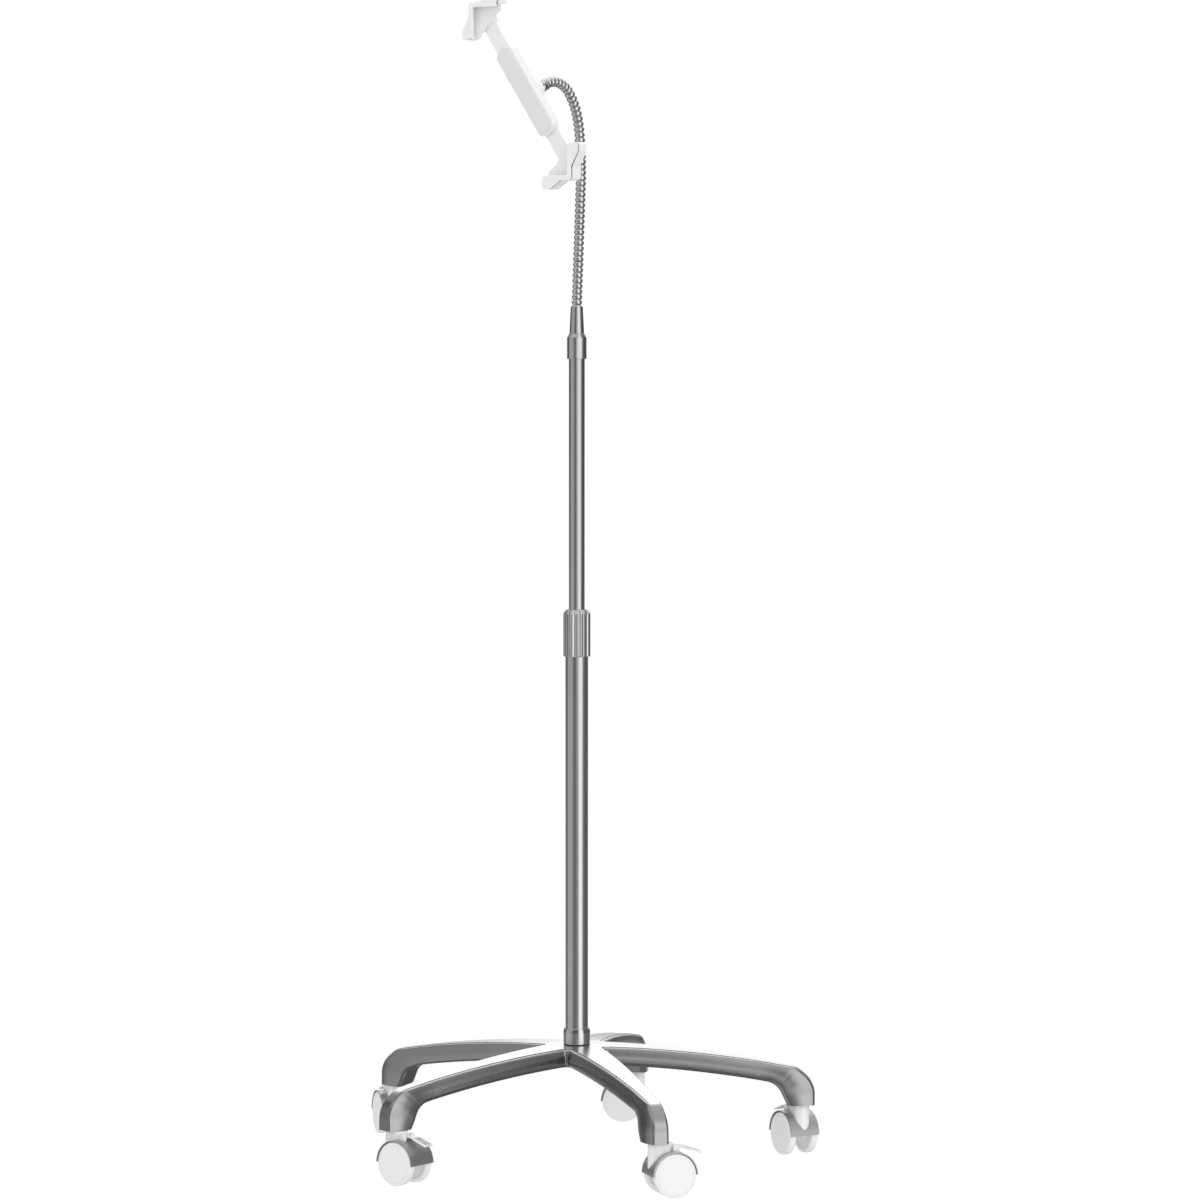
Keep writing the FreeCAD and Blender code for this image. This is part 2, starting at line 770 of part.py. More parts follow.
def at_corner(shape, upper):
    """Moves a shape drawn about the opening's upper left corner to that corner or the opposite one."""
    placed = moved(shape, Vector(-half_w, 0, half_h))
    if not upper:
        placed = turned(placed, 180, Vector(0, 0, 0), Y)
    return on_holder(placed)


def grip_ear():
    """Outward flare with a round end, on the grip's upper arm."""
    start = grip_arm - ear_length
    tip = grip_wall + ear_reach
    front = device_front_y - lip_thickness + ear_behind_lip
    return slab([(start, grip_pad, 0), (start, grip_wall, 16), (grip_arm - 10, tip, 9),
                 (grip_arm + 4, tip, 7), (grip_arm + 1, grip_pad, 0)], front, front + ear_depth)


def mirrored_in_corner(shape):
    """The same shape on the grip's other arm: x and z change places about the corner."""
    return turned(shape, 180, Vector(0, 0, 0), Vector(1, 0, -1)).mirror(Vector(0, 0, 0), Y)


def corner_grip(upper):
    """L-shaped grip round a corner of the opening, with the gusset that takes the bar's end."""
    wall = grip_wall
    reach = grip_arm
    edge = grip_edge_round
    outer = (-wall, wall, grip_outer_round)
    lip_front = device_front_y - lip_thickness
    back_y = bar_layer(False)[1] + gusset_cover
    lip = slab([outer, (reach, wall, edge), (reach, -lip_overlap, edge), (lip_overlap, -lip_overlap, 2),
                (lip_overlap, -reach, edge), (-wall, -reach, edge)], lip_front, device_front_y)
    sides = slab([outer, (reach, wall, grip_pad), (reach, grip_pad, grip_pad), (-grip_pad, grip_pad, 2),
                  (-grip_pad, -reach, grip_pad), (-wall, -reach, grip_pad)], lip_front, back_y)
    plate = slab([outer, (reach, wall, edge), (reach, -8, 3), (24, -24, 14), (8, -reach, 3),
                  (-wall, -reach, edge)], device_back_y, device_back_y + grip_back)
    ear = grip_ear()
    grip = at_corner(fuse([lip, sides, plate, ear, mirrored_in_corner(ear)]), upper)
    corner = math.hypot(half_w, half_h)
    half = bar_width / 2 + gusset_margin
    gusset = slab(rectangle(-half, corner - gusset_inset, half, corner - gusset_end, 4),
                  device_back_y, back_y)
    if not upper:
        gusset = turned(gusset, 180, Vector(0, 0, 0), Y)
    return fuse([grip, along_diagonal(gusset)])


def grip_pads(upper):
    """Soft pads on the inside of the grip's two arms."""
    pad = box(Vector(6, device_front_y + ear_behind_lip, 0),
              Vector(grip_arm - 3, device_back_y - ear_behind_lip, grip_pad))
    return [at_corner(pad, upper), at_corner(mirrored_in_corner(pad), upper)]


# Casters

def across(shape, x, z):
    """Lays a body of revolution drawn about Z along the Y axis through (x, z)."""
    return moved(turned(shape, -90, Vector(0, 0, 0), X), Vector(x, 0, z))


def caster_wheel(side):
    """Wheel with a rounded tread, a closed outer disc and a recessed inner face."""
    inner = caster_neck_width / 2 + side_gap
    outer = caster_width / 2
    profile = [(axle_r + running, inner), (wheel_hub_r, inner), (wheel_hub_r + 1, inner + 3),
               (wheel_r - 6, inner + 3), (wheel_r - 5, inner + 0.4), (wheel_r - 1.6, inner + 0.4),
               (wheel_r - 0.5, inner + 0.9), (wheel_r, inner + 2), (wheel_r, outer - 2.4),
               (wheel_r - 0.7, outer - 0.8), (wheel_r - 2.2, outer - 0.2), (wheel_r - 5, outer),
               (0, outer), (0, outer - 1.8), (axle_r + running, outer - 1.8)]
    wheel = lathe([(r, side * w) for r, w in profile])
    return across(wheel, trail, wheel_r)


def above_axle(half):
    """A block over the wheels' upper half, as wide as told on each side."""
    return box(Vector(trail - 2 * wheel_r, -half, wheel_r), Vector(trail + 2 * wheel_r, half, 3 * wheel_r))


def caster_fender():
    """Half-round shell over both wheels, open in the middle for the housing's neck."""
    inner_r = wheel_r + fender_gap
    outer_r = inner_r + fender_wall
    half = caster_width / 2
    shell = across(cylinder(outer_r, -half, half, inner_r), trail, wheel_r)
    return shell.common(above_axle(half)).cut(neck_block(seat)).cut(ear_block(seat))


def neck_block(grow):
    """Upright block with round ends that joins the caster's stem to its body."""
    half = caster_neck_width / 2 + grow
    length = caster_neck_length - caster_neck_width
    top = leg_bottom_z - swivel_gap
    low = wheel_r + 6
    front = Part.makeCylinder(half, top - low, Vector(0, 0, low))
    rear = Part.makeCylinder(half, top - low, Vector(length, 0, low))
    return fuse([front, rear, box(Vector(0, -half, low), Vector(length, half, top))])


def ear_block(grow):
    """The two ears for the brake's hinge, before the slot between them is cut."""
    half = caster_neck_width / 2 + grow
    barrel = lever_barrel_r + ear_wall + grow
    ends = across(cylinder(barrel, -half, half), lever_pin_x, lever_pin_z)
    root = box(Vector(trail - 8, -half, wheel_r + hood_depth),
               Vector(lever_pin_x, half, lever_pin_z + barrel))
    return fuse([ends, root])


def caster_housing():
    """Body between the wheels with the stem's socket, the brake's ears and the axle."""
    half = caster_neck_width / 2
    hood_r = wheel_r + fender_gap - seat
    hood = across(cylinder(hood_r, -half, half), trail, wheel_r)
    hood = hood.common(above_axle(half))
    hub = across(cylinder(wheel_hub_r + 2, -half, half), trail, wheel_r)
    body = fuse([neck_block(0), hood, hub])
    barrel = lever_barrel_r + ear_wall
    slot_half = lever_width / 2 + side_gap / 2
    slot = box(Vector(lever_pin_x - barrel - 2, -slot_half, lever_pin_z - barrel - 0.2),
               Vector(lever_pin_x + 2 * barrel, slot_half, 2 * lever_pin_z))
    body = fuse([body, ear_block(0)]).cut(slot)
    body = body.cut(across(cylinder(lever_pin_r + running, -half - 1, half + 1), lever_pin_x, lever_pin_z))
    body = body.cut(cylinder(stem_pin_r + running, stem_pin_low - 1, leg_bottom_z))
    body = body.cut(across(cylinder(axle_r + seat, -half - 1, half + 1), trail, wheel_r))
    axle = across(cylinder(axle_r, 2 - caster_width / 2, caster_width / 2 - 2), trail, wheel_r)
    return body, axle


def brake_lever():
    """Foot pedal that turns in the housing's ears."""
    half = lever_width / 2
    barrel = across(cylinder(lever_barrel_r, -half, half), lever_pin_x, lever_pin_z)
    pin_half = caster_neck_width / 2 - 1
    pins = across(cylinder(lever_pin_r, -pin_half, pin_half), lever_pin_x, lever_pin_z)
    t = lever_thickness
    top = lever_pin_z + lever_barrel_r
    knee = lever_pin_x + lever_knee
    profile = [(lever_pin_x, top, 0), (knee, top - 2, 20), (pedal_end_x, pedal_end_z + t, 1.2),
               (pedal_end_x, pedal_end_z, 1.2), (knee - 1, top - 2 - t, 20), (lever_pin_x, top - t, 0)]
    wide = pedal_width / 2
    tread = slab(profile, -wide, wide)
    tread = tread.common(box(Vector(knee - 3, -wide, 0), Vector(2 * pedal_end_x, wide, 2 * top)))
    return fuse([barrel, pins, slab(profile, -half, half), tread])


def caster_stem():
    """Stem pressed into a leg, with the thinner pin the caster swivels on."""
    top = leg_bottom_z + stem_length - 1
    return fuse([cylinder(stem_r, leg_bottom_z, top), cylinder(stem_pin_r, stem_pin_low, leg_bottom_z + 1)])


def caster_place(k, direction):
    """Where arm k's caster stands, trailing in the given direction."""
    polar = math.radians(base_turn + 360.0 / arm_count * k)
    at = Vector(stem_circle_r * math.cos(polar), stem_circle_r * math.sin(polar), 0)
    return Placement(at, Rotation(Z, direction))


def placed(shape, placement):
    """A copy of the shape at its caster's place."""
    result = shape.copy()
    result.Placement = placement.multiply(result.Placement)
    return result


# The parts

os.makedirs("parts", exist_ok=True)

write("base_casting", base_casting())
collar, gasket, insert, bolt, washer = base_fittings()
write("base_collar", collar)
write("foot_gasket", gasket)
write("pole_foot_insert", insert)
write("base_bolt", bolt, washer)

housing, axle = caster_housing()
stems = []
for k, direction in enumerate(trail_directions):
    place = caster_place(k, direction)
    name = "caster_%d_" % (k + 1)
    write(name + "housing", placed(housing, place), placed(axle, place))
    write(name + "fender", placed(caster_fender(), place))
    write(name + "wheel_left", placed(caster_wheel(1), place))
    write(name + "wheel_right", placed(caster_wheel(-1), place))
    write(name + "brake_lever", placed(brake_lever(), place))
    stems.append(placed(caster_stem(), place))
write("caster_stems", *stems)

write("collar_collet", collet())
write("height_lock_collar", lock_collar())
lower, upper, bush = pole_pieces()
write("lower_pole", lower)
write("upper_pole", upper)
write("pole_glide_bush", bush)
collar, cone = neck_mount()
write("neck_collar", collar)
write("neck_cone", cone)
for k, piece in enumerate(neck_pieces()):
    write("gooseneck_root" if k == 0 else "gooseneck_%d" % k, piece)

write("neck_ferrule", ferrule())
write("ball_stud", ball_stud())
write("ball_bush", ball_bush())
write("ball_nut", ball_nut())
front, back, screws = shells()
write("holder_front_shell", front)
write("holder_back_shell", back)
write("shell_screws", *screws)
pad_x = shell_half_width - pad_inset
pad_z = shell_half_length - pad_inset
pad = slab(rectangle(-pad_x, -pad_z, pad_x, pad_z, shell_round - pad_inset), pad_front_y, shell_front_y)
write("holder_pad", along_diagonal(pad))
write("pinion", pinion())
for side, upper in (("upper", True), ("lower", False)):
    bar = slide_bar(upper)
    write(side + "_arm", bar)
    write("corner_grip_" + side, corner_grip(upper).cut(bar))
    write("grip_pads_" + side, *grip_pads(upper))
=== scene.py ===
import json
import math

import bmesh
import bpy
from mathutils import Matrix, Vector


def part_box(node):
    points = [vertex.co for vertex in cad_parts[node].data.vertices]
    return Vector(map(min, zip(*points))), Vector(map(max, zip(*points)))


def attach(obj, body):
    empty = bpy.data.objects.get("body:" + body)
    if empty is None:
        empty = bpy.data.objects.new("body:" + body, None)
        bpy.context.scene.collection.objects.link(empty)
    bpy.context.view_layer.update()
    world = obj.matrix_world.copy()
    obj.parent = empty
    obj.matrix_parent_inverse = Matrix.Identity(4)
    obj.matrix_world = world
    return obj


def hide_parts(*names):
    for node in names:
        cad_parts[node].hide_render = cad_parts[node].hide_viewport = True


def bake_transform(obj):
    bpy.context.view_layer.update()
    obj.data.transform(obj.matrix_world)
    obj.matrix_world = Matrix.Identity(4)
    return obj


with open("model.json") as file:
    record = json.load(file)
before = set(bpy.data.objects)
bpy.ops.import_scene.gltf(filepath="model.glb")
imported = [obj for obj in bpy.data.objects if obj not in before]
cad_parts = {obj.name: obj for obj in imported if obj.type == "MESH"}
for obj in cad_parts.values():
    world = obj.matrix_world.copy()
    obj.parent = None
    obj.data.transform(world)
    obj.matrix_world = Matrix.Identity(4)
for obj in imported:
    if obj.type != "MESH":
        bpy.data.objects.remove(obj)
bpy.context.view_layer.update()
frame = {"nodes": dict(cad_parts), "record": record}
NODES = frame["nodes"]
scene = bpy.context.scene

# Sizes in millimetres, most of them the solids'. The arms' edges, elbows and feet, the flutes and
# the grooves of the grips are drawn finer here. First what all pieces share

MM = 0.001
MERGE_DISTANCE = 0.001
FACE_INSET = 0.02
TURN_GAP = 0.05
SEAT_GAP = 0.03
SLIDE_GAP = 0.1
SWIVEL_GAP = 0.3
SHARP_ANGLE = math.radians(35)

# Sizes of the base casting

ARM_COUNT = 5
BASE_TURN = 42.0
STEM_CIRCLE = 316.0
HUB_TOP = 160.0
HUB_FLAT = 28.0
HUB_DEPTH = 26.0
HUB_HALF_WIDTH = 27.0
ARM_BOW = 6.0
KNEE_R = 309.0
KNEE_TOP = 126.5
KNEE_ROUND = 34.0
KNEE_HALF_WIDTH = 11.2
FOOT_FLARE = 2.4
ELBOW_X = 252.0
ELBOW_DROP = 22.0
ELBOW_ROUND = 49.0
INNER_ELBOW_ROUND = 50.0
INNER_LEAN = math.tan(math.radians(25.0))
ARM_DEPTH_OUT = 28.0
LEG_OUTER = 334.5
LEG_INNER = 295.5
LEG_BOTTOM = 73.0
FLANK_TOP_ANGLE = 68.0
FLANK_LOW_ANGLE = 93.0
ARM_EDGE_ROUND = 4.0
ARM_BELLY_ROUND = 7.0
SHOULDER_INSET = 2.05
STEP_DEPTH = 1.1
CROTCH_ROUND = 5.0
CHANNEL_START = 46.0
CHANNEL_END = 250.0
CHANNEL_LEDGE = 2.9
CHANNEL_LEAN = 0.6
CHANNEL_ROOF = 5.0
RECESS_R = 12.0
RECESS_TOP = 142.0
CUT_CLEARANCE = 5.0

# Sizes of the casters

TRAIL_DIRECTIONS = (157.0, 217.0, 147.0, 0.0, 60.0)
TRAIL = 20.0
WHEEL_R = 30.0
CASTER_HALF_WIDTH = 22.5
NECK_HALF_WIDTH = 11.25
NECK_BACK = 21.75
NECK_ABOVE_AXLE = 8.0
HOOD_ABOVE_TREAD = 0.6
WHEEL_GAP = 0.5
WHEEL_HOLLOW = 4.0
RIM_INSET = 0.4
RING_DEPTH = 0.8
DISC_THICKNESS = 2.4
AXLE_R = 3.05
WHEEL_HUB_R = 8.0
LEVER_PIN = (25.0, 66.0)
LEVER_BARREL_R = 3.0
LEVER_HALF_WIDTH = 6.2
LEVER_THICKNESS = 2.6
LEVER_GAP = 0.25
LEVER_BEND = 14.0
LEVER_BEND_ROUND = 20.0
LEVER_DROP = 2.0
EAR_WALL = 1.4
HINGE_ROOT = 14.0
PEDAL_HALF_WIDTH = 8.5
PEDAL_END = (64.0, 56.0)
TREAD_START = 2.0

# Sizes of the pole and its collars

LOWER_POLE_R = 16.0
LOWER_POLE_WALL = 1.5
UPPER_POLE_R = 11.0
UPPER_POLE_WALL = 1.3
TUBE_EDGE = 0.3
FLUTE_COUNT = 12
COLLAR_WALL = 3.0
COLLAR_BEVEL = 6.0
LID_WALL = 3.4
LID_THICKNESS = 2.0
LID_CONE = 14.0
NECK_COLLAR_WALL = 2.5
NECK_COLLAR_BEVEL = 5.0
NECK_COLLAR_TOP_R = 11.4
NECK_COLLAR_SHOULDER = 20.0
CONE_ROOT_R = 8.6
CONE_BASE_R = 10.2
CONE_TOP_R = 8.4
CONE_TIP_R = 6.8

# Sizes of the ribbed neck, whose bends are pairs of a radius and an angle

NECK_ROOT_Z = 1196.0
NECK_LEAN = 2.9
NECK_STRAIGHT = 165.0
NECK_BENDS = ((420.0, 9.9), (150.0, 9.0), (88.0, 24.0), (42.0, 74.0))
NECK_BORE_R = 3.2
RIB_COUNT = 47
RIB_R = 7.3
VALLEY_R = 5.2
PIVOT_RIBS = (3.5, 12.5, 21.5, 30.5, 38.5)
SEAM_RIBS = (0, 8, 17, 26, 34, 47)
BEND_RIBS = 3.0

# Sizes of the ball joint

FERRULE_R = 8.0
FERRULE_LENGTH = 13.0
FERRULE_FLOOR = 4.0
FERRULE_GROOVE = 0.5
STUD_LENGTH = 13.0
STUD_R = 3.6
BALL_R = 8.5
BALL_BEHIND_SHELL = 8.0
BUSH_R = 10.1
BOSS_R = 12.3
BOSS_BACK = 3.0
NUT_R = 14.9
NUT_FRONT = 1.0
NUT_BACK = 5.0
NUT_LIP = 3.1

# Sizes of the holder and of the opening between its grips

OPENING_HALF_WIDTH = 89.0
OPENING_HALF_HEIGHT = 120.0
OPENING_FRONT = -120.0
OPENING_BACK = -111.6
LIP_FRONT = -122.5
LIP_OVERLAP = 4.0
GRIP_BACK = -99.23
GRIP_WALL = 3.0
GRIP_PAD = 0.8
GRIP_ARM = 46.0
CORNER_ROUND = 2.0
PLATE_REACH = 1.6
PLATE_INSET = 0.4
PLATE_THICKNESS = 2.6
GUSSET_HALF_WIDTH = 12.8
GUSSET_START = 36.0
GUSSET_END = 13.0
EAR_REACH = 12.0
EAR_START = 16.0
EAR_FOOT = 1.6
EAR_OVERHANG = 4.0
EAR_FRONT = -121.9
EAR_BACK = -101.9
GROOVE_FRONT = -120.6
GROOVE_BACK = -117.4
GROOVE_DEPTH = 1.9
# The dark strip at the bottom of each grip's groove is painted shade of the crease there
SHADE_STRIP_RISE = 0.1
SHADE_STRIP_DEPTH = 0.6
SHADE_STRIP_GAP = 0.05
SHELL_HALF_LENGTH = 72.0
SHELL_HALF_WIDTH = 15.6
SHELL_DEPTH = 13.0
SHELL_ROUND = 11.0
SHELL_EDGE = 1.2
SHELL_SPLIT = 6.25
PARTING_GAP = 0.05
PAD_THICKNESS = 1.5
PAD_INSET = 3.0
SOFT_EDGE = 0.5


# Materials

class Value:
    """A socket or number in a node tree; an expression on values adds its Math nodes."""

    def __init__(self, tree, source):
        self.tree = tree
        self.source = source

    def math(self, operation, first, second):
        """A Math node on two values."""
        return self.tree.value("ShaderNodeMath", {"operation": operation}, {0: first, 1: second})

    def __add__(self, other):
        return self.math("ADD", self, other)

    def __radd__(self, other):
        return self.math("ADD", other, self)

    def __sub__(self, other):
        return self.math("SUBTRACT", self, other)

    def __rsub__(self, other):
        return self.math("SUBTRACT", other, self)

    def __mul__(self, other):
        return self.math("MULTIPLY", self, other)

    def __rmul__(self, other):
        return self.math("MULTIPLY", other, self)

    def __truediv__(self, other):
        return self.math("DIVIDE", self, other)

    def __rtruediv__(self, other):
        return self.math("DIVIDE", other, self)

    def __pow__(self, other):
        return self.math("POWER", self, other)

    def between(self, low, high):
        """0 up to low, 1 from high on, with a smooth step."""
        return self.tree.value("ShaderNodeMapRange", {"interpolation_type": "SMOOTHSTEP"},
                               {"Value": self, "From Min": low, "From Max": high})


class Tree:
    """A node tree and the one way that nodes are added to it."""

    def __init__(self, tree):
        self.tree = tree

    def node(self, kind, settings, sockets):
        """A node with its settings, then the values or links of its sockets by name or number."""
        node = self.tree.nodes.new(kind)
        for key, value in settings.items():
            setattr(node, key, value)
        for key, value in sockets.items():
            self.feed(node.inputs[key], value)
        return node

    def feed(self, socket, value):
        """Links an output, or sets a plain number, colour or vector."""
        if isinstance(value, Value):
            value = value.source
        if isinstance(value, bpy.types.NodeSocket):
            self.tree.links.new(value, socket)
        else:
            socket.default_value = value

    def value(self, kind, settings, sockets, output=0):
        """One output of a new node, as a value."""
        return Value(self, self.node(kind, settings, sockets).outputs[output])


class Finish(Tree):
    """A procedural material on the principled shader."""

    def __init__(self, name, sockets):
        self.material = bpy.data.materials.new(name)
        self.material.use_nodes = True
        super().__init__(self.material.node_tree)
        self.shader = self.tree.nodes["Principled BSDF"]
        self.place = self.node("ShaderNodeTexCoord", {}, {}).outputs["Object"]
        self.set(sockets)

    def set(self, sockets):
        """Feeds the shader's sockets, by name."""
        for key, value in sockets.items():
            self.feed(self.shader.inputs[key], value)

    def stretched(self, x, y, z):
        """Object coordinates scaled by axis, which draws a pattern out along the small ones."""
        return self.node("ShaderNodeMapping", {}, {"Vector": self.place, "Scale": (x, y, z)}).outputs[0]

    def noise(self, scale, detail=3.0, roughness=0.5, place=None):
        """Noise over the surface, from 0 to 1, with about this many grains to the metre."""
        return self.value("ShaderNodeTexNoise", {}, {"Vector": place or self.place, "Scale": scale,
                                                     "Detail": detail, "Roughness": roughness})

    def greys(self, share, low, high):
        """A colour between two greys."""
        return self.colours(share, (low, low, low, 1.0), (high, high, high, 1.0))

    def colours(self, share, low, high):
        """A colour between two others."""
        node = self.node("ShaderNodeMix", {"data_type": "RGBA"}, {0: share, 6: low, 7: high})
        return node.outputs[2]

    def facing_up(self):
        """The upward part of the surface's direction, from -1 to 1."""
        normal = self.node("ShaderNodeNewGeometry", {}, {}).outputs["Normal"]
        return self.value("ShaderNodeSeparateXYZ", {}, {"Vector": normal}, "Z")

    def bumped(self, height, distance, strength):
        """The surface's direction, bumped by a height that is worth a distance in metres."""
        return self.node("ShaderNodeBump", {}, {"Height": height, "Distance": distance,
                                                "Strength": strength}).outputs[0]


def satin_tube():
    """Satin plated tube, with fine lines drawn along it."""
    finish = Finish("satin_tube", {"Metallic": 1.0})
    lines = finish.noise(900.0, 2.0, 0.5, finish.stretched(1.0, 1.0, 0.01))
    cloud = finish.noise(6.0)
    finish.set({"Base Color": finish.greys(lines * 0.5 + cloud * 0.5, 0.49, 0.56),
                "Roughness": 0.15 + lines * 0.06 + cloud * 0.04,
                "Normal": finish.bumped(lines, 0.00002, 0.3)})
    return finish.material


def satin_trim():
    """Satin plated collars, with the fine rings of a lathe."""
    finish = Finish("satin_trim", {"Metallic": 1.0})
    rings = finish.noise(1400.0, 2.0, 0.5, finish.stretched(0.02, 0.02, 1.0))
    cloud = finish.noise(40.0)
    finish.set({"Base Color": finish.greys(rings * 0.3 + cloud * 0.7, 0.54, 0.6),
                "Roughness": 0.14 + rings * 0.03 + cloud * 0.04,
                "Normal": finish.bumped(rings, 0.00001, 0.03)})
    return finish.material


def cast_aluminium():
    """Casting: polished where it faces up, satin with a fine grain on its sides."""
    finish = Finish("cast_aluminium", {"Metallic": 1.0})
    up = finish.facing_up().between(0.84, 0.93)
    grain = finish.noise(1300.0, 4.0, 0.7)
    cloud = finish.noise(9.0)
    side = finish.greys(grain * 0.5 + cloud * 0.5, 0.32, 0.38)
    top = finish.greys(cloud, 0.86, 0.92)
    finish.set({"Base Color": finish.colours(up, side, top),
                "Roughness": up * (0.22 + cloud * 0.07) + (1 - up) * (0.24 + grain * 0.06),
                "Normal": finish.bumped(grain * (1 - up * 0.9), 0.00006, 0.3)})
    return finish.material


def neck_metal():
    """Bright plated ribs."""
    finish = Finish("neck_metal", {"Metallic": 1.0})
    cloud = finish.noise(120.0)
    fine = finish.noise(2200.0, 2.0)
    finish.set({"Base Color": finish.greys(cloud, 0.62, 0.7),
                "Roughness": 0.16 + cloud * 0.06 + fine * 0.04,
                "Normal": finish.bumped(fine, 0.00001, 0.3)})
    return finish.material


def steel():
    """Zinc on screws, stems and pins."""
    finish = Finish("steel", {"Metallic": 1.0})
    cloud = finish.noise(180.0)
    finish.set({"Base Color": finish.greys(cloud, 0.46, 0.6), "Roughness": 0.22 + cloud * 0.14})
    return finish.material


def black_rubber():
    """Near-black dull rubber of the thin ring at the pole's foot, which paints the dark shadow gap there."""
    finish = Finish("black_rubber", {"Specular IOR Level": 0.35})
    grain = finish.noise(1500.0)
    finish.set({"Base Color": finish.greys(grain, 0.018, 0.035), "Roughness": 0.62 + grain * 0.2,
                "Normal": finish.bumped(grain, 0.00004, 0.3)})
    return finish.material


def moulded(name, low, high, roughness, coat, skin_scale):
    """Moulded plastic with a faint flow pattern and a fine skin."""
    finish = Finish(name, {"Coat Weight": coat, "Coat Roughness": 0.08})
    flow = finish.noise(14.0)
    skin = finish.noise(skin_scale, 2.0)
    finish.set({"Base Color": finish.greys(flow, low, high),
                "Roughness": roughness + flow * 0.06 + skin * 0.05,
                "Normal": finish.bumped(skin, 0.00002, 0.25)})
    return finish.material


def silver_plastic():
    """Silver lacquer with a fine flake on the casters' fenders."""
    finish = Finish("silver_plastic", {"Coat Weight": 0.25, "Coat Roughness": 0.1, "Metallic": 0.8})
    flake = finish.noise(3200.0, 1.0)
    cloud = finish.noise(20.0)
    finish.set({"Base Color": finish.greys(flake * 0.6 + cloud * 0.4, 0.36, 0.48),
                "Roughness": 0.27 + flake * 0.12 + cloud * 0.05})
    return finish.material


FINISHES = {
    "cast_aluminium": cast_aluminium(),
    "satin_trim": satin_trim(),
    "satin_tube": satin_tube(),
    "neck_metal": neck_metal(),
    "steel": steel(),
    "black_rubber": black_rubber(),
    "grey_nylon": moulded("grey_nylon", 0.2, 0.26, 0.45, 0.0, 900.0),
    "white_plastic": moulded("white_plastic", 0.84, 0.88, 0.17, 0.3, 1100.0),
    "wheel_white": moulded("wheel_white", 0.85, 0.89, 0.3, 0.0, 1100.0),
    "silver_plastic": silver_plastic(),
    "soft_pad": moulded("soft_pad", 0.72, 0.77, 0.5, 0.0, 700.0),
}

for part in frame["record"]["subparts"]:
    slots = NODES[part["node"]].data.materials
    slots.clear()
    slots.append(FINISHES[part["material_slot"]])


# Shapes

NEARLY_HALF = 0.49


def arc(before, corner, after, radius, steps):
    """Points that round a corner off between its two neighbours, in the plane or in space."""
    back = before - corner
    ahead = after - corner
    half = back.angle(ahead) / 2
    reach = min(radius / math.tan(half), NEARLY_HALF * back.length, NEARLY_HALF * ahead.length)
    back.normalize()
    ahead.normalize()
    centre = corner + (back + ahead).normalized() * (reach / math.cos(half))
    first = corner + back * reach - centre
    last = corner + ahead * reach - centre
    sweep = first.angle(last)
    return [centre + (first * math.sin((1 - k / steps) * sweep) + last * math.sin(k / steps * sweep))
            / math.sin(sweep) for k in range(steps + 1)]


def rounded(corners, steps=6):
    """The points of a closed outline from (x, y, corner radius) corners."""
    points = []
    for i, (x, y, radius) in enumerate(corners):
        here = Vector((x, y))
        before = Vector(corners[i - 1][:2])
        after = Vector(corners[(i + 1) % len(corners)][:2])
        points += arc(before, here, after, radius, steps) if radius > 0 else [here]
    return points


def rectangle(x, y, radius):
    """Corner list of a rectangle about the middle, x and y to each side."""
    return [(-x, -y, radius), (x, -y, radius), (x, y, radius), (-x, y, radius)]


def upright(point, depth):
    """An outline's point in the XZ plane, with its depth along Y."""
    return Vector((point[0], depth, point[1]))


def level(point, depth):
    """An outline's point in the XY plane, with its height along Z."""
    return Vector((point[0], point[1], depth))


def skin(shape, rows, closed=True):
    """Faces between rows of points; each row is a loop when closed."""
    verts = [[shape.verts.new(point) for point in row] for row in rows]
    for near, far in zip(verts, verts[1:]):
        for i in range(len(near) if closed else len(near) - 1):
            j = (i + 1) % len(near)
            shape.faces.new((near[i], near[j], far[j], far[i]))
    return verts


def slab(shape, outline, low, high, place=upright):
    """A closed plate from an outline's points."""
    verts = skin(shape, [[place(point, depth) for point in outline] for depth in (low, high)])
    shape.faces.new(verts[0])
    shape.faces.new(verts[1])


def lathe(shape, profile, groove=None, sides=96):
    """A closed (radius, height) profile turned about the Z axis; groove tells how far a flute cuts in."""
    rows = []
    for k in range(sides + 1):
        angle = 2 * math.pi * k / sides
        row = []
        for radius, height in profile:
            reach = radius - groove(radius, angle) if groove else radius
            row.append(Vector((reach * math.cos(angle), reach * math.sin(angle), height)))
        rows.append(row)
    skin(shape, rows)


def closed_up(shape):
    """The shape with its doubled points merged and its faces turned outwards."""
    bmesh.ops.remove_doubles(shape, verts=shape.verts, dist=MERGE_DISTANCE)
    bmesh.ops.recalc_face_normals(shape, faces=shape.faces)
    return shape


def less(shape, cutter):
    """What is left of a shape after a cutter has gone through it."""
    holders = []
    for name, form in (("stock", shape), ("cutter", cutter)):
        mesh = bpy.data.meshes.new(name)
        closed_up(form).to_mesh(mesh)
        form.free()
        holders.append(bpy.data.objects.new(name, mesh))
        scene.collection.objects.link(holders[-1])
    cut = holders[0].modifiers.new("cut", "BOOLEAN")
    cut.object = holders[1]
    cut.solver = "EXACT"
    left = bmesh.new()
    left.from_object(holders[0], bpy.context.evaluated_depsgraph_get())
    for holder in holders:
        mesh = holder.data
        bpy.data.objects.remove(holder)
        bpy.data.meshes.remove(mesh)
    return left


def piece(name, shape, slot, body, nodes, bevel=0.0, place=None):
    """A piece from a shape in millimetres that rides a body and stands for its nodes."""
    closed_up(shape)
    if place:
        bmesh.ops.transform(shape, matrix=place, verts=shape.verts)
    bmesh.ops.scale(shape, vec=(MM, MM, MM), verts=shape.verts)
    mesh = bpy.data.meshes.new(name)
    shape.to_mesh(mesh)
    shape.free()
    return dressed(name, mesh, slot, body, nodes, bevel)


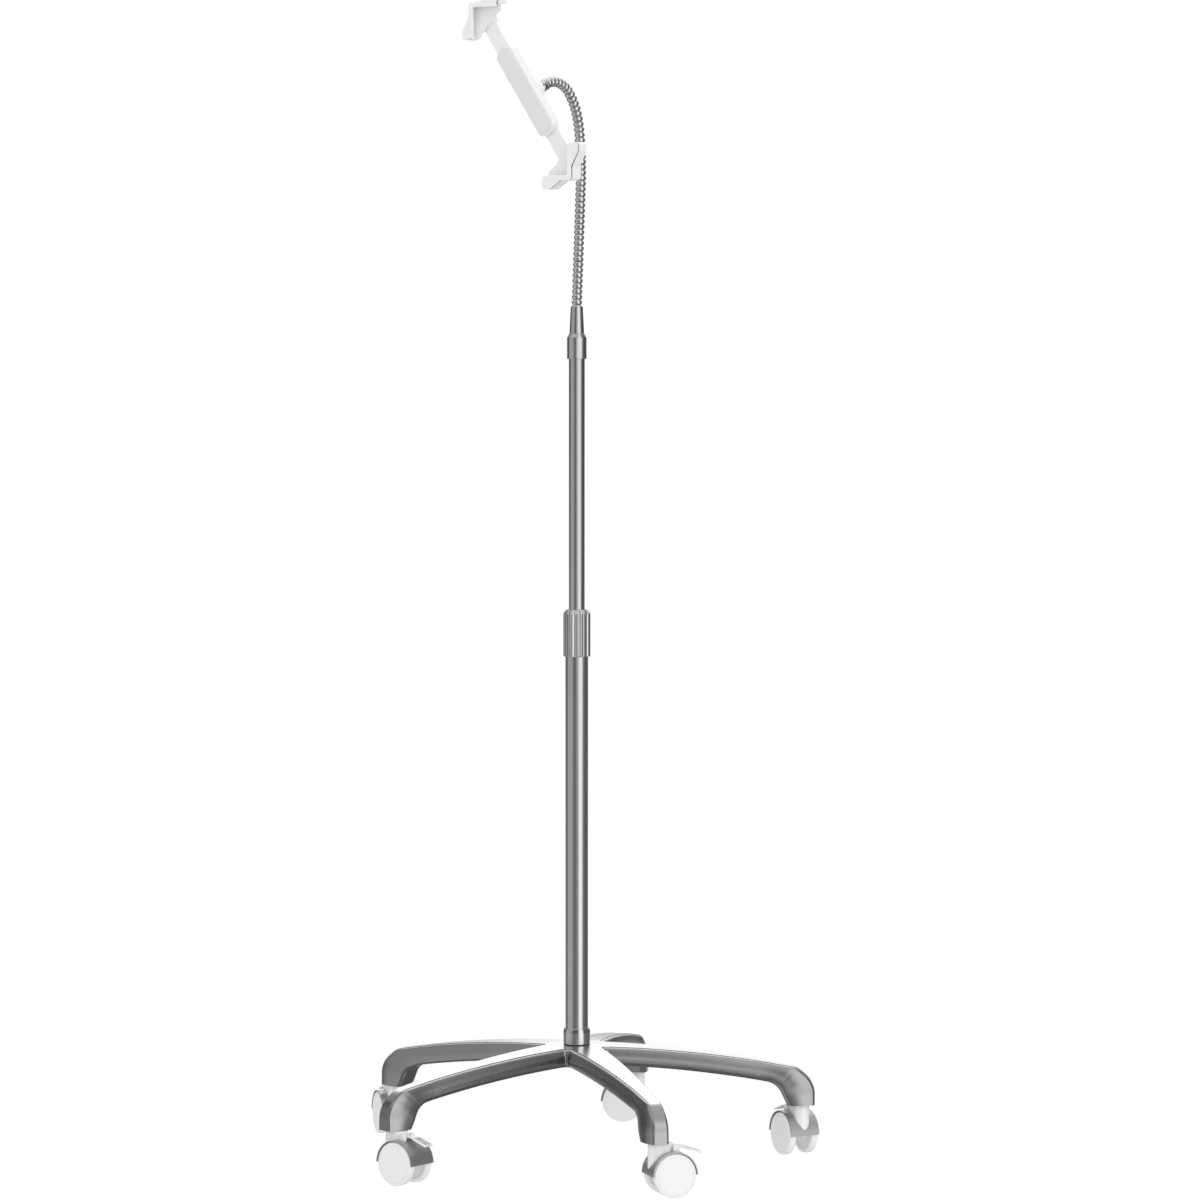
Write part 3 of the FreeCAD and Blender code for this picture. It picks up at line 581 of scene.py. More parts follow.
def dressed(name, mesh, slot, body, nodes, bevel=0.0):
    """The object of a finished mesh, with its finish, smooth shading, bevels and body."""
    piece = bpy.data.objects.new(name, mesh)
    scene.collection.objects.link(piece)
    mesh.materials.clear()
    mesh.materials.append(FINISHES[slot])
    mesh.shade_smooth()
    if bevel:
        edges = piece.modifiers.new("edges", "BEVEL")
        edges.width = bevel * MM
        edges.segments = 3
        edges.limit_method = "ANGLE"
        edges.angle_limit = SHARP_ANGLE
    else:
        mesh.set_sharp_from_angle(angle=SHARP_ANGLE)
    shading = piece.modifiers.new("shading", "WEIGHTED_NORMAL")
    shading.keep_sharp = True
    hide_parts(*nodes)
    if body:
        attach(piece, body)
    return piece


# Base casting

HALF_SECTOR = math.pi / ARM_COUNT
CROTCH_R = HUB_HALF_WIDTH / math.tan(HALF_SECTOR)
ARM_TAPER = (HUB_HALF_WIDTH - KNEE_HALF_WIDTH) / (KNEE_R - CROTCH_R)
HUB_LOW = HUB_TOP - HUB_DEPTH
KNEE_LOW = KNEE_TOP - ARM_DEPTH_OUT
STRAIGHT_STEPS = 48
ELBOW_STEPS = 60
ELBOW_ARC_STEPS = 24
CROTCH_STEPS = 8
EDGE_STEPS = 6
FLANK_STEPS = 8
BELLY_STEPS = 8
TOP_SHARES = (0, 0.3, 0.6, 0.9)


def half_top(x):
    """Half the width of an arm's top, before its edge is rounded."""
    return HUB_HALF_WIDTH - ARM_TAPER * (min(x, KNEE_R) - CROTCH_R)


def arm_line(x, hub_z, knee_z):
    """Height over x of a line from the hub's flat to the knee that bows upwards."""
    share = max(0.0, (x - HUB_FLAT) / (KNEE_R - HUB_FLAT))
    return hub_z + share * (knee_z - hub_z) + 4 * ARM_BOW * share * (1 - share)


def top_z(x):
    """Height of an arm's top over x."""
    return arm_line(x, HUB_TOP, KNEE_TOP)


def belly_z(x):
    """Height of an arm's belly over x."""
    return arm_line(x, HUB_LOW, KNEE_LOW)


def run(corners, steps):
    """An open line through (x, z, radius) corners, rounded there, with the length up to each point."""
    points = [Vector(corners[0][:2])]
    for before, here, after in zip(corners, corners[1:], corners[2:]):
        points += arc(Vector(before[:2]), Vector(here[:2]), Vector(after[:2]), here[2], steps)
    points.append(Vector(corners[-1][:2]))
    lengths = [0.0]
    for near, far in zip(points, points[1:]):
        lengths.append(lengths[-1] + (far - near).length)
    return points, lengths


def along(line, share):
    """The point at a share of a line's length."""
    points, lengths = line
    goal = share * lengths[-1]
    for near, far, start, end in zip(points, points[1:], lengths, lengths[1:]):
        if goal <= end and end > start:
            return near.lerp(far, (goal - start) / (end - start))
    return points[-1].copy()


def elbow_lines():
    """Outer and inner line of an arm from the elbow's start to the foot."""
    slope = (KNEE_LOW - belly_z(ELBOW_X)) / (KNEE_R - ELBOW_X)
    leg_line_x = LEG_INNER + INNER_LEAN * LEG_BOTTOM
    meet_z = (belly_z(ELBOW_X) + slope * (leg_line_x - ELBOW_X)) / (1 + slope * INNER_LEAN)
    meet_x = LEG_INNER - INNER_LEAN * (meet_z - LEG_BOTTOM)
    outer = run([(ELBOW_X, top_z(ELBOW_X), 0), (KNEE_R, KNEE_TOP, KNEE_ROUND),
                 (LEG_OUTER, KNEE_TOP - ELBOW_DROP, ELBOW_ROUND), (LEG_OUTER, LEG_BOTTOM, 0)],
                ELBOW_ARC_STEPS)
    inner = run([(ELBOW_X, belly_z(ELBOW_X), 0), (meet_x, meet_z, INNER_ELBOW_ROUND),
                 (LEG_INNER, LEG_BOTTOM, 0)], ELBOW_ARC_STEPS)
    return outer, inner


def flank(start, outward, down, depth):
    """Points from the flat top round its edge, down the bulging side and round to the belly."""
    steep, tuck = math.radians(FLANK_TOP_ANGLE), math.radians(FLANK_LOW_ANGLE)
    used = ARM_EDGE_ROUND * (1 - math.cos(steep)) + ARM_BELLY_ROUND * (1 + math.cos(tuck))
    flank_round = (depth - used) / (math.cos(steep) - math.cos(tuck))
    across = drop = 0.0
    points = []
    for radius, first, last, steps in ((ARM_EDGE_ROUND, 0.0, steep, EDGE_STEPS),
                                       (flank_round, steep, tuck, FLANK_STEPS),
                                       (ARM_BELLY_ROUND, tuck, math.pi, BELLY_STEPS)):
        for k in range(1, steps + 1):
            angle = first + (last - first) * k / steps
            points.append(start + outward * (across + radius * (math.sin(angle) - math.sin(first)))
                          + down * (drop + radius * (math.cos(first) - math.cos(angle))))
        across += radius * (math.sin(last) - math.sin(first))
        drop += radius * (math.cos(first) - math.cos(last))
    return points


def half_section(top, edge, outward, down, depth, low, channel):
    """Points from the middle of the top, over a small step and the side, up into the channel below."""
    start = edge - outward * (ARM_EDGE_ROUND * math.tan(math.radians(FLANK_TOP_ANGLE) / 2) + SHOULDER_INSET)
    step = start + down * STEP_DEPTH
    side = [start, step] + flank(step, outward, down, depth - STEP_DEPTH)
    across = (side[-1] - low).length
    rim = side[-1].lerp(low, CHANNEL_LEDGE / across)
    inner = side[-1].lerp(low, (CHANNEL_LEDGE + CHANNEL_LEAN) / across)
    rise = down * (CHANNEL_ROOF - depth if channel else 0.0)
    flat = [top.lerp(start, share) for share in TOP_SHARES]
    return flat + side + [rim, inner + rise, low + rise]


def crotch_sections():
    """Half sections from the plane between two arms to the start of the straight side."""
    side = Vector((1, -ARM_TAPER, 0)).normalized()
    outward = Vector((ARM_TAPER, 1, 0)).normalized()
    corner = Vector((CROTCH_R, HUB_HALF_WIDTH, 0))
    spoke = Vector((math.cos(HALF_SECTOR), math.sin(HALF_SECTOR), 0))
    opening = side.angle(spoke)
    centre = corner + spoke * (CROTCH_ROUND / math.sin(opening))
    tangent_x = (corner + side * (CROTCH_ROUND / math.tan(opening))).x
    turn = math.pi / 2 - opening
    sections = []
    for k in range(CROTCH_STEPS + 1):
        share = k / CROTCH_STEPS
        direction = spoke * math.sin((1 - share) * turn) + outward * math.sin(share * turn)
        direction = direction / math.sin(turn)
        edge = centre - direction * CROTCH_ROUND
        edge.z = top_z(edge.x)
        middle = tangent_x * share
        top = Vector((middle, 0, top_z(middle)))
        low = Vector((middle, 0, belly_z(middle)))
        depth = edge.z - belly_z(edge.x)
        sections.append(half_section(top, edge, direction, Vector((0, 0, -1)), depth, low, False))
    return sections, tangent_x


def arm_sections():
    """Half sections of an arm from the hub to the foot."""
    sections, start = crotch_sections()
    places = []
    for k in range(1, STRAIGHT_STEPS + 1):
        x = start + (ELBOW_X - start) * k / STRAIGHT_STEPS
        places.append((Vector((x, 0, top_z(x))), Vector((x, 0, belly_z(x))), 0.0))
    outer, inner = elbow_lines()
    for k in range(1, ELBOW_STEPS + 1):
        top, belly = along(outer, k / ELBOW_STEPS), along(inner, k / ELBOW_STEPS)
        flare = FOOT_FLARE * k / ELBOW_STEPS
        places.append((Vector((top.x, 0, top.y)), Vector((belly.x, 0, belly.y)), flare))
    outward = Vector((0, 1, 0))
    for top, belly, flare in places:
        depth = (belly - top).length
        edge = top + outward * (half_top(top.x) + flare)
        channel = CHANNEL_START < top.x < CHANNEL_END
        sections.append(half_section(top, edge, outward, (belly - top) / depth, depth, belly, channel))
    return sections


def base_casting():
    """Five-arm star with filleted crotches, bulging sides and a recess below for the bolt."""
    shape = bmesh.new()
    halves = arm_sections()
    for k in range(ARM_COUNT):
        turn = Matrix.Rotation(math.radians(BASE_TURN) + 2 * HALF_SECTOR * k, 3, "Z")
        rows = []
        for half in halves:
            mirrored = [Vector((point.x, -point.y, point.z)) for point in reversed(half[1:-1])]
            rows.append([turn @ point for point in half + mirrored])
        verts = skin(shape, rows)
        shape.faces.new(verts[-1])
    recess = bmesh.new()
    mouth = HUB_LOW - CUT_CLEARANCE
    lathe(recess, [Vector((0, mouth)), Vector((RECESS_R, mouth)), Vector((RECESS_R, RECESS_TOP)),
                   Vector((0, RECESS_TOP))], sides=64)
    return piece("star_casting", less(shape, recess), "cast_aluminium", "base", ["base_casting"])


base_casting()


# Casters, each drawn with its stem on the Z axis and trailing along +X

def caster_place(number):
    """Where a caster stands and which way it trails."""
    angle = math.radians(BASE_TURN + 360.0 / ARM_COUNT * (number - 1))
    foot = Matrix.Translation((STEM_CIRCLE * math.cos(angle), STEM_CIRCLE * math.sin(angle), 0))
    return foot @ Matrix.Rotation(math.radians(TRAIL_DIRECTIONS[number - 1]), 4, "Z")


def wheel(name, side, place, body, node):
    """Wheel with a rounded tread, a dished outer disc with a ring groove and a hollow inner face."""
    inner = NECK_HALF_WIDTH + WHEEL_GAP
    rim = inner + RIM_INSET
    hollow = inner + WHEEL_HOLLOW
    outer = CASTER_HALF_WIDTH
    ring = outer - RING_DEPTH
    disc_back = outer - DISC_THICKNESS
    inner_face = [(AXLE_R, inner, 0), (WHEEL_HUB_R, inner, 0.6), (WHEEL_HUB_R + 1, hollow, 1),
                  (WHEEL_R - 6.5, hollow, 1), (WHEEL_R - 5, rim, 0.8)]
    tread = [(WHEEL_R, rim, 2.4), (WHEEL_R, outer - 0.6, 2.8)]
    ring_groove = [(WHEEL_R - 3.6, outer - 0.1, 0.4), (WHEEL_R - 4.0, ring, 0.2),
                   (WHEEL_R - 4.6, ring, 0.2), (WHEEL_R - 5.0, outer, 0.5)]
    disc = [(WHEEL_R - 12, outer - 0.25, 0), (0, outer - 0.5, 0), (0, disc_back, 0), (AXLE_R, disc_back, 0)]
    shape = bmesh.new()
    lathe(shape, rounded(inner_face + tread + ring_groove + disc, 4))
    axle = Matrix.Translation((TRAIL, 0, WHEEL_R)) @ Matrix.Rotation(math.radians(-90 * side), 4, "X")
    piece(name, shape, "wheel_white", body, [node], place=place @ axle)


def half_disc(radius, steps=40):
    """Outline of the upper half of a disc about the axle."""
    angles = [math.pi * k / steps for k in range(steps + 1)]
    return [Vector((TRAIL + radius * math.cos(angle), WHEEL_R + radius * math.sin(angle)))
            for angle in angles]


def housing(name, place, body, node):
    """White body between the wheels: the stem's neck, the hood under the fender and the hinge ears."""
    shape = bmesh.new()
    half = NECK_HALF_WIDTH
    end_round = half - 0.05
    neck = rounded([(-half, -half, end_round), (NECK_BACK, -half, end_round),
                    (NECK_BACK, half, end_round), (-half, half, end_round)], 14)
    slab(shape, neck, WHEEL_R + NECK_ABOVE_AXLE, LEG_BOTTOM - SWIVEL_GAP, level)
    hood = half_disc(WHEEL_R + HOOD_ABOVE_TREAD)
    slab(shape, hood, -half + FACE_INSET, half - FACE_INSET)
    x, z = LEVER_PIN
    barrel = LEVER_BARREL_R + EAR_WALL
    ear = rounded([(x - barrel, z - HINGE_ROOT, 0), (x + barrel, z - HINGE_ROOT, 0),
                   (x + barrel, z + barrel, barrel - 0.1), (x - barrel, z + barrel, barrel - 0.1)], 8)
    ear_near = LEVER_HALF_WIDTH + LEVER_GAP
    ear_far = half - 2 * FACE_INSET
    slab(shape, ear, ear_near, ear_far)
    slab(shape, ear, -ear_far, -ear_near)
    piece(name, shape, "white_plastic", body, [node], bevel=0.7, place=place)


def brake_lever(name, place, body, node):
    """Foot pedal: a plate that bends down from its hinge barrel, with a wider tread at its end."""
    x, z = LEVER_PIN
    end_x, end_z = PEDAL_END
    top = z + LEVER_BARREL_R
    bend_x = x + LEVER_BEND
    bend_z = top - LEVER_DROP
    plate = rounded([(x, top, 0), (bend_x, bend_z, LEVER_BEND_ROUND), (end_x, end_z + LEVER_THICKNESS, 1.2),
                     (end_x, end_z, 1.2), (bend_x - 1, bend_z - LEVER_THICKNESS, LEVER_BEND_ROUND),
                     (x, top - LEVER_THICKNESS, 0)], 8)
    shape = bmesh.new()
    slab(shape, plate, -LEVER_HALF_WIDTH, LEVER_HALF_WIDTH)
    angles = [math.pi * k / 12 for k in range(24)]
    barrel = [Vector((x + LEVER_BARREL_R * math.cos(angle), z + LEVER_BARREL_R * math.sin(angle)))
              for angle in angles]
    slab(shape, barrel, -LEVER_HALF_WIDTH + FACE_INSET, LEVER_HALF_WIDTH - FACE_INSET)
    slope = math.atan2(bend_z - end_z - LEVER_THICKNESS, end_x - bend_x)
    tread_start = Vector((bend_x + TREAD_START, bend_z - TREAD_START * math.tan(slope)))
    tread_end = Vector((end_x, end_z + LEVER_THICKNESS))
    down = Vector((0, -LEVER_THICKNESS))
    tread = [tread_start, tread_end, tread_end + down, tread_start + down]
    slab(shape, tread, -PEDAL_HALF_WIDTH, PEDAL_HALF_WIDTH)
    piece(name, shape, "white_plastic", body, [node], bevel=0.8, place=place)


for number in range(1, ARM_COUNT + 1):
    name = "caster_%d" % number
    place = caster_place(number)
    housing(name + "_body", place, name, name + "_housing")
    brake_lever(name + "_pedal", place, name + "_brake", name + "_brake_lever")
    wheel(name + "_left_wheel", 1, place, name + "_left", name + "_wheel_left")
    wheel(name + "_right_wheel", -1, place, name + "_right", name + "_wheel_right")


# Pole

def span(node):
    """Lowest and highest point of a node, in millimetres."""
    low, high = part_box(node)
    return low.z / MM, high.z / MM


def flutes(depth, share, start, fade):
    """Flutes for the lathe, each a share of their pitch to either side, that fade in from a radius."""

    def cut(radius, angle):
        """How far a flute cuts in at a radius and an angle."""
        turn = (angle * FLUTE_COUNT / (2 * math.pi) + 0.5) % 1 - 0.5
        hollow = max(0.0, 1 - (turn / share) ** 2)
        return depth * hollow * min(1.0, max(0.0, (radius - start) / fade))

    return cut


def tube(name, node, radius, wall, body):
    """A drawn tube with broken edges."""
    low, high = span(node)
    bore = radius - wall
    shape = bmesh.new()
    lathe(shape, rounded([(bore, low, TUBE_EDGE), (radius, low, TUBE_EDGE), (radius, high, TUBE_EDGE),
                          (bore, high, TUBE_EDGE)], 2))
    piece(name, shape, "satin_tube", body, [node])


def lock_collar():
    """Fluted collar with a bevelled top that closes on the inner tube."""
    low, high = span("height_lock_collar")
    outer = LOWER_POLE_R + COLLAR_WALL
    bore = LOWER_POLE_R + TURN_GAP
    mouth = UPPER_POLE_R + SLIDE_GAP
    profile = rounded([(bore, low, 0.3), (outer, low, 0.8), (outer, high - COLLAR_BEVEL, 1.0),
                       (UPPER_POLE_R + LID_WALL, high, 0.8), (mouth, high, 0.3),
                       (mouth, high - LID_THICKNESS, 0), (bore, high - LID_CONE, 0)], 4)
    shape = bmesh.new()
    lathe(shape, profile, flutes(depth=1.5, share=0.27, start=LOWER_POLE_R, fade=2.2), sides=240)
    piece("lock_collar_grip", shape, "satin_trim", "lock_collar", ["height_lock_collar"])


def base_collar():
    """Turned collar at the pole's foot, bevelled towards the tube."""
    low, high = span("base_collar")
    outer = LOWER_POLE_R + COLLAR_WALL
    bore = LOWER_POLE_R + SEAT_GAP
    shape = bmesh.new()
    lathe(shape, rounded([(bore, low, 0), (outer, low, 0.5), (outer, high - COLLAR_BEVEL, 0.8),
                          (LOWER_POLE_R + 1.6, high - 0.8, 0.8), (LOWER_POLE_R + 1.2, high, 0.4),
                          (bore, high, 0.2)], 4))
    piece("pole_foot_collar", shape, "satin_trim", "base", ["base_collar"])


def neck_mount():
    """Collar on top of the pole and the slim cone that the ribbed neck grows out of."""
    low, high = span("neck_collar")
    bore = UPPER_POLE_R + SEAT_GAP
    outer = UPPER_POLE_R + NECK_COLLAR_WALL
    hole = CONE_ROOT_R + 0.1
    shoulder = low + NECK_COLLAR_SHOULDER
    shape = bmesh.new()
    lathe(shape, rounded([(bore, low, 0.2), (outer, low, 0.6), (outer, high - NECK_COLLAR_BEVEL, 0.8),
                          (NECK_COLLAR_TOP_R, high, 0.8), (hole, high, 0), (hole, shoulder + 2, 0),
                          (bore, shoulder, 0)], 4))
    piece("neck_foot_collar", shape, "satin_trim", "pole_top", ["neck_collar"])
    low, top = span("neck_cone")
    shape = bmesh.new()
    lathe(shape, rounded([(NECK_BORE_R, low, 0), (CONE_ROOT_R, low, 0), (CONE_ROOT_R, high, 0),
                          (CONE_BASE_R, high, 0.4), (CONE_TOP_R, top - 2, 1.4), (CONE_TIP_R, top, 0.4),
                          (NECK_BORE_R, top, 0)], 5))
    piece("neck_foot_cone", shape, "satin_trim", "pole_top", ["neck_cone"])


tube("pole_outer_tube", "lower_pole", LOWER_POLE_R, LOWER_POLE_WALL, "base")
tube("pole_inner_tube", "upper_pole", UPPER_POLE_R, UPPER_POLE_WALL, "pole_top")
base_collar()
lock_collar()
neck_mount()


# Ribbed neck

NECK_LENGTH = NECK_STRAIGHT + sum(radius * math.radians(turn) for radius, turn in NECK_BENDS)
RIB_PITCH = NECK_LENGTH / RIB_COUNT
SECTION_COUNT = len(PIVOT_RIBS)
LINE_STEPS = 8
RING_STEPS = 16
RING_SIDES = 40
RIB_FULLNESS = 0.55


def neck_at(distance):
    """Centre and direction of the neck's axis at a distance from its root."""
    angle = math.radians(NECK_LEAN)
    straight = min(distance, NECK_STRAIGHT)
    y = straight * math.sin(angle)
    z = NECK_ROOT_Z + straight * math.cos(angle)
    left = distance - NECK_STRAIGHT
    for radius, turn in NECK_BENDS:
        if left <= 0:
            break
        sweep = min(math.radians(turn), left / radius)
        y += radius * (math.cos(angle - sweep) - math.cos(angle))
        z -= radius * (math.sin(angle - sweep) - math.sin(angle))
        angle -= sweep
        left -= radius * sweep
    direction = Vector((0, math.sin(angle), math.cos(angle)))
    return Vector((0, y, z)) + direction * max(left, 0), direction


def ribbed_tube():
    """Node tree that turns a line into a closed tube whose radius swells once for each rib."""
    group = bpy.data.node_groups.new("ribbed_tube", "GeometryNodeTree")
    sockets = group.interface
    sockets.new_socket("Geometry", in_out="OUTPUT", socket_type="NodeSocketGeometry")
    sockets.new_socket("Line", in_out="INPUT", socket_type="NodeSocketGeometry")
    for name in ("Rib pitch", "Rib radius", "Valley radius", "Steps", "Sides"):
        kind = "NodeSocketInt" if name in ("Steps", "Sides") else "NodeSocketFloat"
        sockets.new_socket(name, in_out="INPUT", socket_type=kind)
    sockets.new_socket("Finish", in_out="INPUT", socket_type="NodeSocketMaterial")
    tree = Tree(group)
    given = tree.node("NodeGroupInput", {}, {}).outputs
    line = tree.node("GeometryNodeMeshToCurve", {}, {"Mesh": given["Line"]}).outputs[0]
    line = tree.node("GeometryNodeResampleCurve", {}, {"Curve": line, "Count": given["Steps"]}).outputs[0]
    length = tree.value("GeometryNodeSplineParameter", {}, {}, "Length")
    share = tree.value("ShaderNodeMath", {"operation": "FRACT"}, {0: length / given["Rib pitch"]})
    swell = tree.value("ShaderNodeMath", {"operation": "SINE"}, {0: share * math.pi}) ** RIB_FULLNESS
    radius = swell * (Value(tree, given["Rib radius"]) - given["Valley radius"]) + given["Valley radius"]
    circle = tree.node("GeometryNodeCurvePrimitiveCircle", {}, {"Resolution": given["Sides"], "Radius": 1.0})
    ribs = tree.node("GeometryNodeCurveToMesh", {}, {"Curve": line, "Profile Curve": circle.outputs[0],
                                                     "Scale": radius, "Fill Caps": True}).outputs[0]
    ribs = tree.node("GeometryNodeSetMaterial", {}, {"Geometry": ribs, "Material": given["Finish"]})
    ribs = tree.node("GeometryNodeRealizeInstances", {}, {"Geometry": ribs.outputs[0]})
    tree.node("NodeGroupOutput", {}, {"Geometry": ribs.outputs[0]})
    return group


def neck_line(first, last):
    """An object with the neck's line from one rib's foot to another's."""
    steps = (last - first) * LINE_STEPS
    points = [neck_at((first + (last - first) * k / steps) * RIB_PITCH)[0] * MM for k in range(steps + 1)]
    mesh = bpy.data.meshes.new("neck_line")
    mesh.from_pydata(points, [(k, k + 1) for k in range(steps)], [])
    line = bpy.data.objects.new("neck_line", mesh)
    scene.collection.objects.link(line)
    return line


def neck_section(group, number):
    """The ribs round one bending place, as a plain mesh."""
    first, last = SEAM_RIBS[number - 1:number + 1]
    line = neck_line(first, last)
    modifier = line.modifiers.new("ribs", "NODES")
    modifier.node_group = group
    sizes = {"Rib pitch": RIB_PITCH * MM, "Rib radius": RIB_R * MM, "Valley radius": VALLEY_R * MM,
             "Steps": (last - first) * RING_STEPS + 1, "Sides": RING_SIDES, "Finish": FINISHES["neck_metal"]}
    for item in group.interface.items_tree:
        if item.item_type == "SOCKET" and item.name in sizes:
            modifier[item.identifier] = sizes[item.name]
    evaluated = line.evaluated_get(bpy.context.evaluated_depsgraph_get())
    mesh = bpy.data.meshes.new_from_object(evaluated)
    bpy.data.objects.remove(line)
    nodes = ["gooseneck_%d" % number] + (["gooseneck_root"] if number == 1 else [])
    section = dressed("neck_ribs_%d" % number, mesh, "neck_metal", None, nodes)
    pivot = PIVOT_RIBS[number - 1]
    start, end = (neck_at((pivot + side * BEND_RIBS) * RIB_PITCH)[0] * MM for side in (-1, 1))
    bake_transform(section)


def ribbed_neck():
    """The neck's sections, one for each bending place."""
    group = ribbed_tube()
    for number in range(1, SECTION_COUNT + 1):
        neck_section(group, number)


ribbed_neck()


# Ball joint

NECK_END, END_DIRECTION = neck_at(NECK_LENGTH)
BALL = NECK_END + END_DIRECTION * (FERRULE_LENGTH + STUD_LENGTH)
SHELL_BACK = BALL.y - BALL_BEHIND_SHELL
SHELL_FRONT = SHELL_BACK - SHELL_DEPTH
HOLDER = Matrix.Translation((0, 0, BALL.z))
ALONG_NECK = Matrix.Translation(NECK_END) @ END_DIRECTION.to_track_quat("Z", "X").to_matrix().to_4x4()
BEHIND_BALL = Matrix.Translation(BALL) @ Matrix.Rotation(math.radians(-90), 4, "X")
BALL_STEPS = 28


def ferrule():
    """Turned cap on the neck's end, with a shallow groove round it."""
    radius = FERRULE_R
    thread = STUD_R + TURN_GAP
    groove = radius - FERRULE_GROOVE
    shape = bmesh.new()
    lathe(shape, rounded([(NECK_BORE_R, 0, 0), (radius - 0.6, 0, 0.4), (radius, 1.2, 0.6),
                          (radius, 4.2, 0.3), (groove, 4.8, 0.2), (groove, 5.6, 0.2),
                          (radius, 6.2, 0.3), (radius, FERRULE_LENGTH - 1.5, 0.8),
                          (radius - 1.2, FERRULE_LENGTH, 0.5), (thread, FERRULE_LENGTH, 0),
                          (thread, FERRULE_FLOOR, 0), (NECK_BORE_R, FERRULE_FLOOR, 0)], 4))
    piece("neck_end_cap", shape, "satin_trim", "neck_5", ["neck_ferrule"], place=ALONG_NECK)


def ball_stud():
    """Ball on its stem, with the flange that turns on the ferrule."""
    reach = FERRULE_LENGTH + STUD_LENGTH
    start = FERRULE_FLOOR + 0.2
    foot = FERRULE_LENGTH + SWIVEL_GAP
    join = math.sqrt(BALL_R ** 2 - STUD_R ** 2)
    stem = [(0, start), (STUD_R, start), (STUD_R, foot)]
    flange = [(STUD_R + 1.8, foot), (STUD_R + 2, foot + 0.3), (STUD_R + 2, foot + 1.7),
              (STUD_R + 1.7, foot + 2), (STUD_R + 0.4, foot + 2), (STUD_R, foot + 2.4)]
    first = math.asin(STUD_R / BALL_R)
    angles = [first + (math.pi - first) * k / BALL_STEPS for k in range(BALL_STEPS + 1)]
    ball = [(BALL_R * math.sin(angle), reach - BALL_R * math.cos(angle)) for angle in angles]
    shape = bmesh.new()
    lathe(shape, [Vector(point) for point in stem + flange + [(STUD_R, reach - join - 0.05)] + ball])
    piece("ball_and_stem", shape, "steel", "stud", ["ball_stud"], place=ALONG_NECK)


def ball_nut():
    """Ring nut behind the holder that clamps the ball, with shallow finger grooves."""
    front = NUT_FRONT - BALL_BEHIND_SHELL
    bore = BOSS_R + TURN_GAP
    profile = rounded([(bore, front, 0), (NUT_R, front, 0.5), (NUT_R, NUT_BACK, 1.6),
                       (BUSH_R - 0.4, NUT_BACK, 0.4), (BUSH_R - 0.8, NUT_LIP, 0), (bore, NUT_LIP, 0)], 5)
    shape = bmesh.new()
    lathe(shape, profile, flutes(depth=0.9, share=0.2, start=BOSS_R + 0.6, fade=1.4), sides=192)
    piece("ball_clamp_nut", shape, "white_plastic", "nut", ["ball_nut"], place=BEHIND_BALL)


# Holder

OPENING_CORNER = Matrix.Translation((-OPENING_HALF_WIDTH, 0, OPENING_HALF_HEIGHT))
SLIDE_TURN = math.pi / 2 - math.atan2(OPENING_HALF_HEIGHT, -OPENING_HALF_WIDTH)
ALONG_SLIDE = HOLDER @ Matrix.Rotation(SLIDE_TURN, 4, "Y")


def shells():
    """The holder's two half shells, with a parting line between them, and the soft pad in front."""
    split = SHELL_FRONT + SHELL_SPLIT
    outline = rounded(rectangle(SHELL_HALF_WIDTH, SHELL_HALF_LENGTH, SHELL_ROUND), 10)
    shape = bmesh.new()
    slab(shape, outline, SHELL_FRONT, split - PARTING_GAP)
    piece("holder_front", shape, "white_plastic", "holder", ["holder_front_shell"], SHELL_EDGE, ALONG_SLIDE)
    shape = bmesh.new()
    slab(shape, outline, split + PARTING_GAP, SHELL_BACK)
    boss_root = -BALL_BEHIND_SHELL - 1
    boss = rounded([(BUSH_R, boss_root, 0), (BOSS_R, boss_root, 0), (BOSS_R, BOSS_BACK, 0.6),
                    (BUSH_R, BOSS_BACK, 0.3)], 3)
    ring = bmesh.new()
    lathe(ring, boss)
    bmesh.ops.transform(ring, matrix=ALONG_SLIDE.inverted() @ BEHIND_BALL, verts=ring.verts)
    joined = bpy.data.meshes.new("boss")
    ring.to_mesh(joined)
    ring.free()
    shape.from_mesh(joined)
    bpy.data.meshes.remove(joined)
    piece("holder_back", shape, "white_plastic", "holder", ["holder_back_shell"], SHELL_EDGE, ALONG_SLIDE)
    pad = rectangle(SHELL_HALF_WIDTH - PAD_INSET, SHELL_HALF_LENGTH - PAD_INSET, SHELL_ROUND - PAD_INSET)
    shape = bmesh.new()
    slab(shape, rounded(pad, 10), SHELL_FRONT - PAD_THICKNESS, SHELL_FRONT)
    piece("holder_soft_pad", shape, "soft_pad", "holder", ["holder_pad"], SOFT_EDGE, ALONG_SLIDE)


def corner_row(distance, depth, steps=10):
    """Points along an L at a distance outside the opening, from the upper arm's end to the lower one's."""
    centre = CORNER_ROUND if distance >= 0 else CORNER_ROUND - distance
    radius = centre + distance
    row = [Vector((GRIP_ARM, depth, distance))]
    for k in range(steps + 1):
        angle = math.pi / 2 * k / steps
        row.append(Vector((centre - radius * math.sin(angle), depth, radius * math.cos(angle) - centre)))
    return row + [Vector((-distance, depth, -GRIP_ARM))]


def round_corner(shape, section):
    """A closed section of (distance, depth) swept round the corner."""
    rows = [corner_row(distance, depth) for distance, depth in section]
    verts = skin(shape, rows + [rows[0]], closed=False)
    shape.faces.new([row[0] for row in verts[:-1]])
    shape.faces.new([row[-1] for row in verts[:-1]])


def ear_outlines(inset):
    """Outlines of a grip's two flared ears, one on each arm, smaller all round by the inset."""
    end = GRIP_ARM + EAR_OVERHANG - inset
    rise = GRIP_WALL + EAR_REACH - inset
    ear = rounded([(EAR_START, EAR_FOOT, 0), (EAR_START, GRIP_WALL - inset, 16), (GRIP_ARM - 10, rise, 9),
                   (end, rise, 7), (end - 3, EAR_FOOT, 0)], 10)
    return ear, [Vector((-point.y, -point.x)) for point in ear]


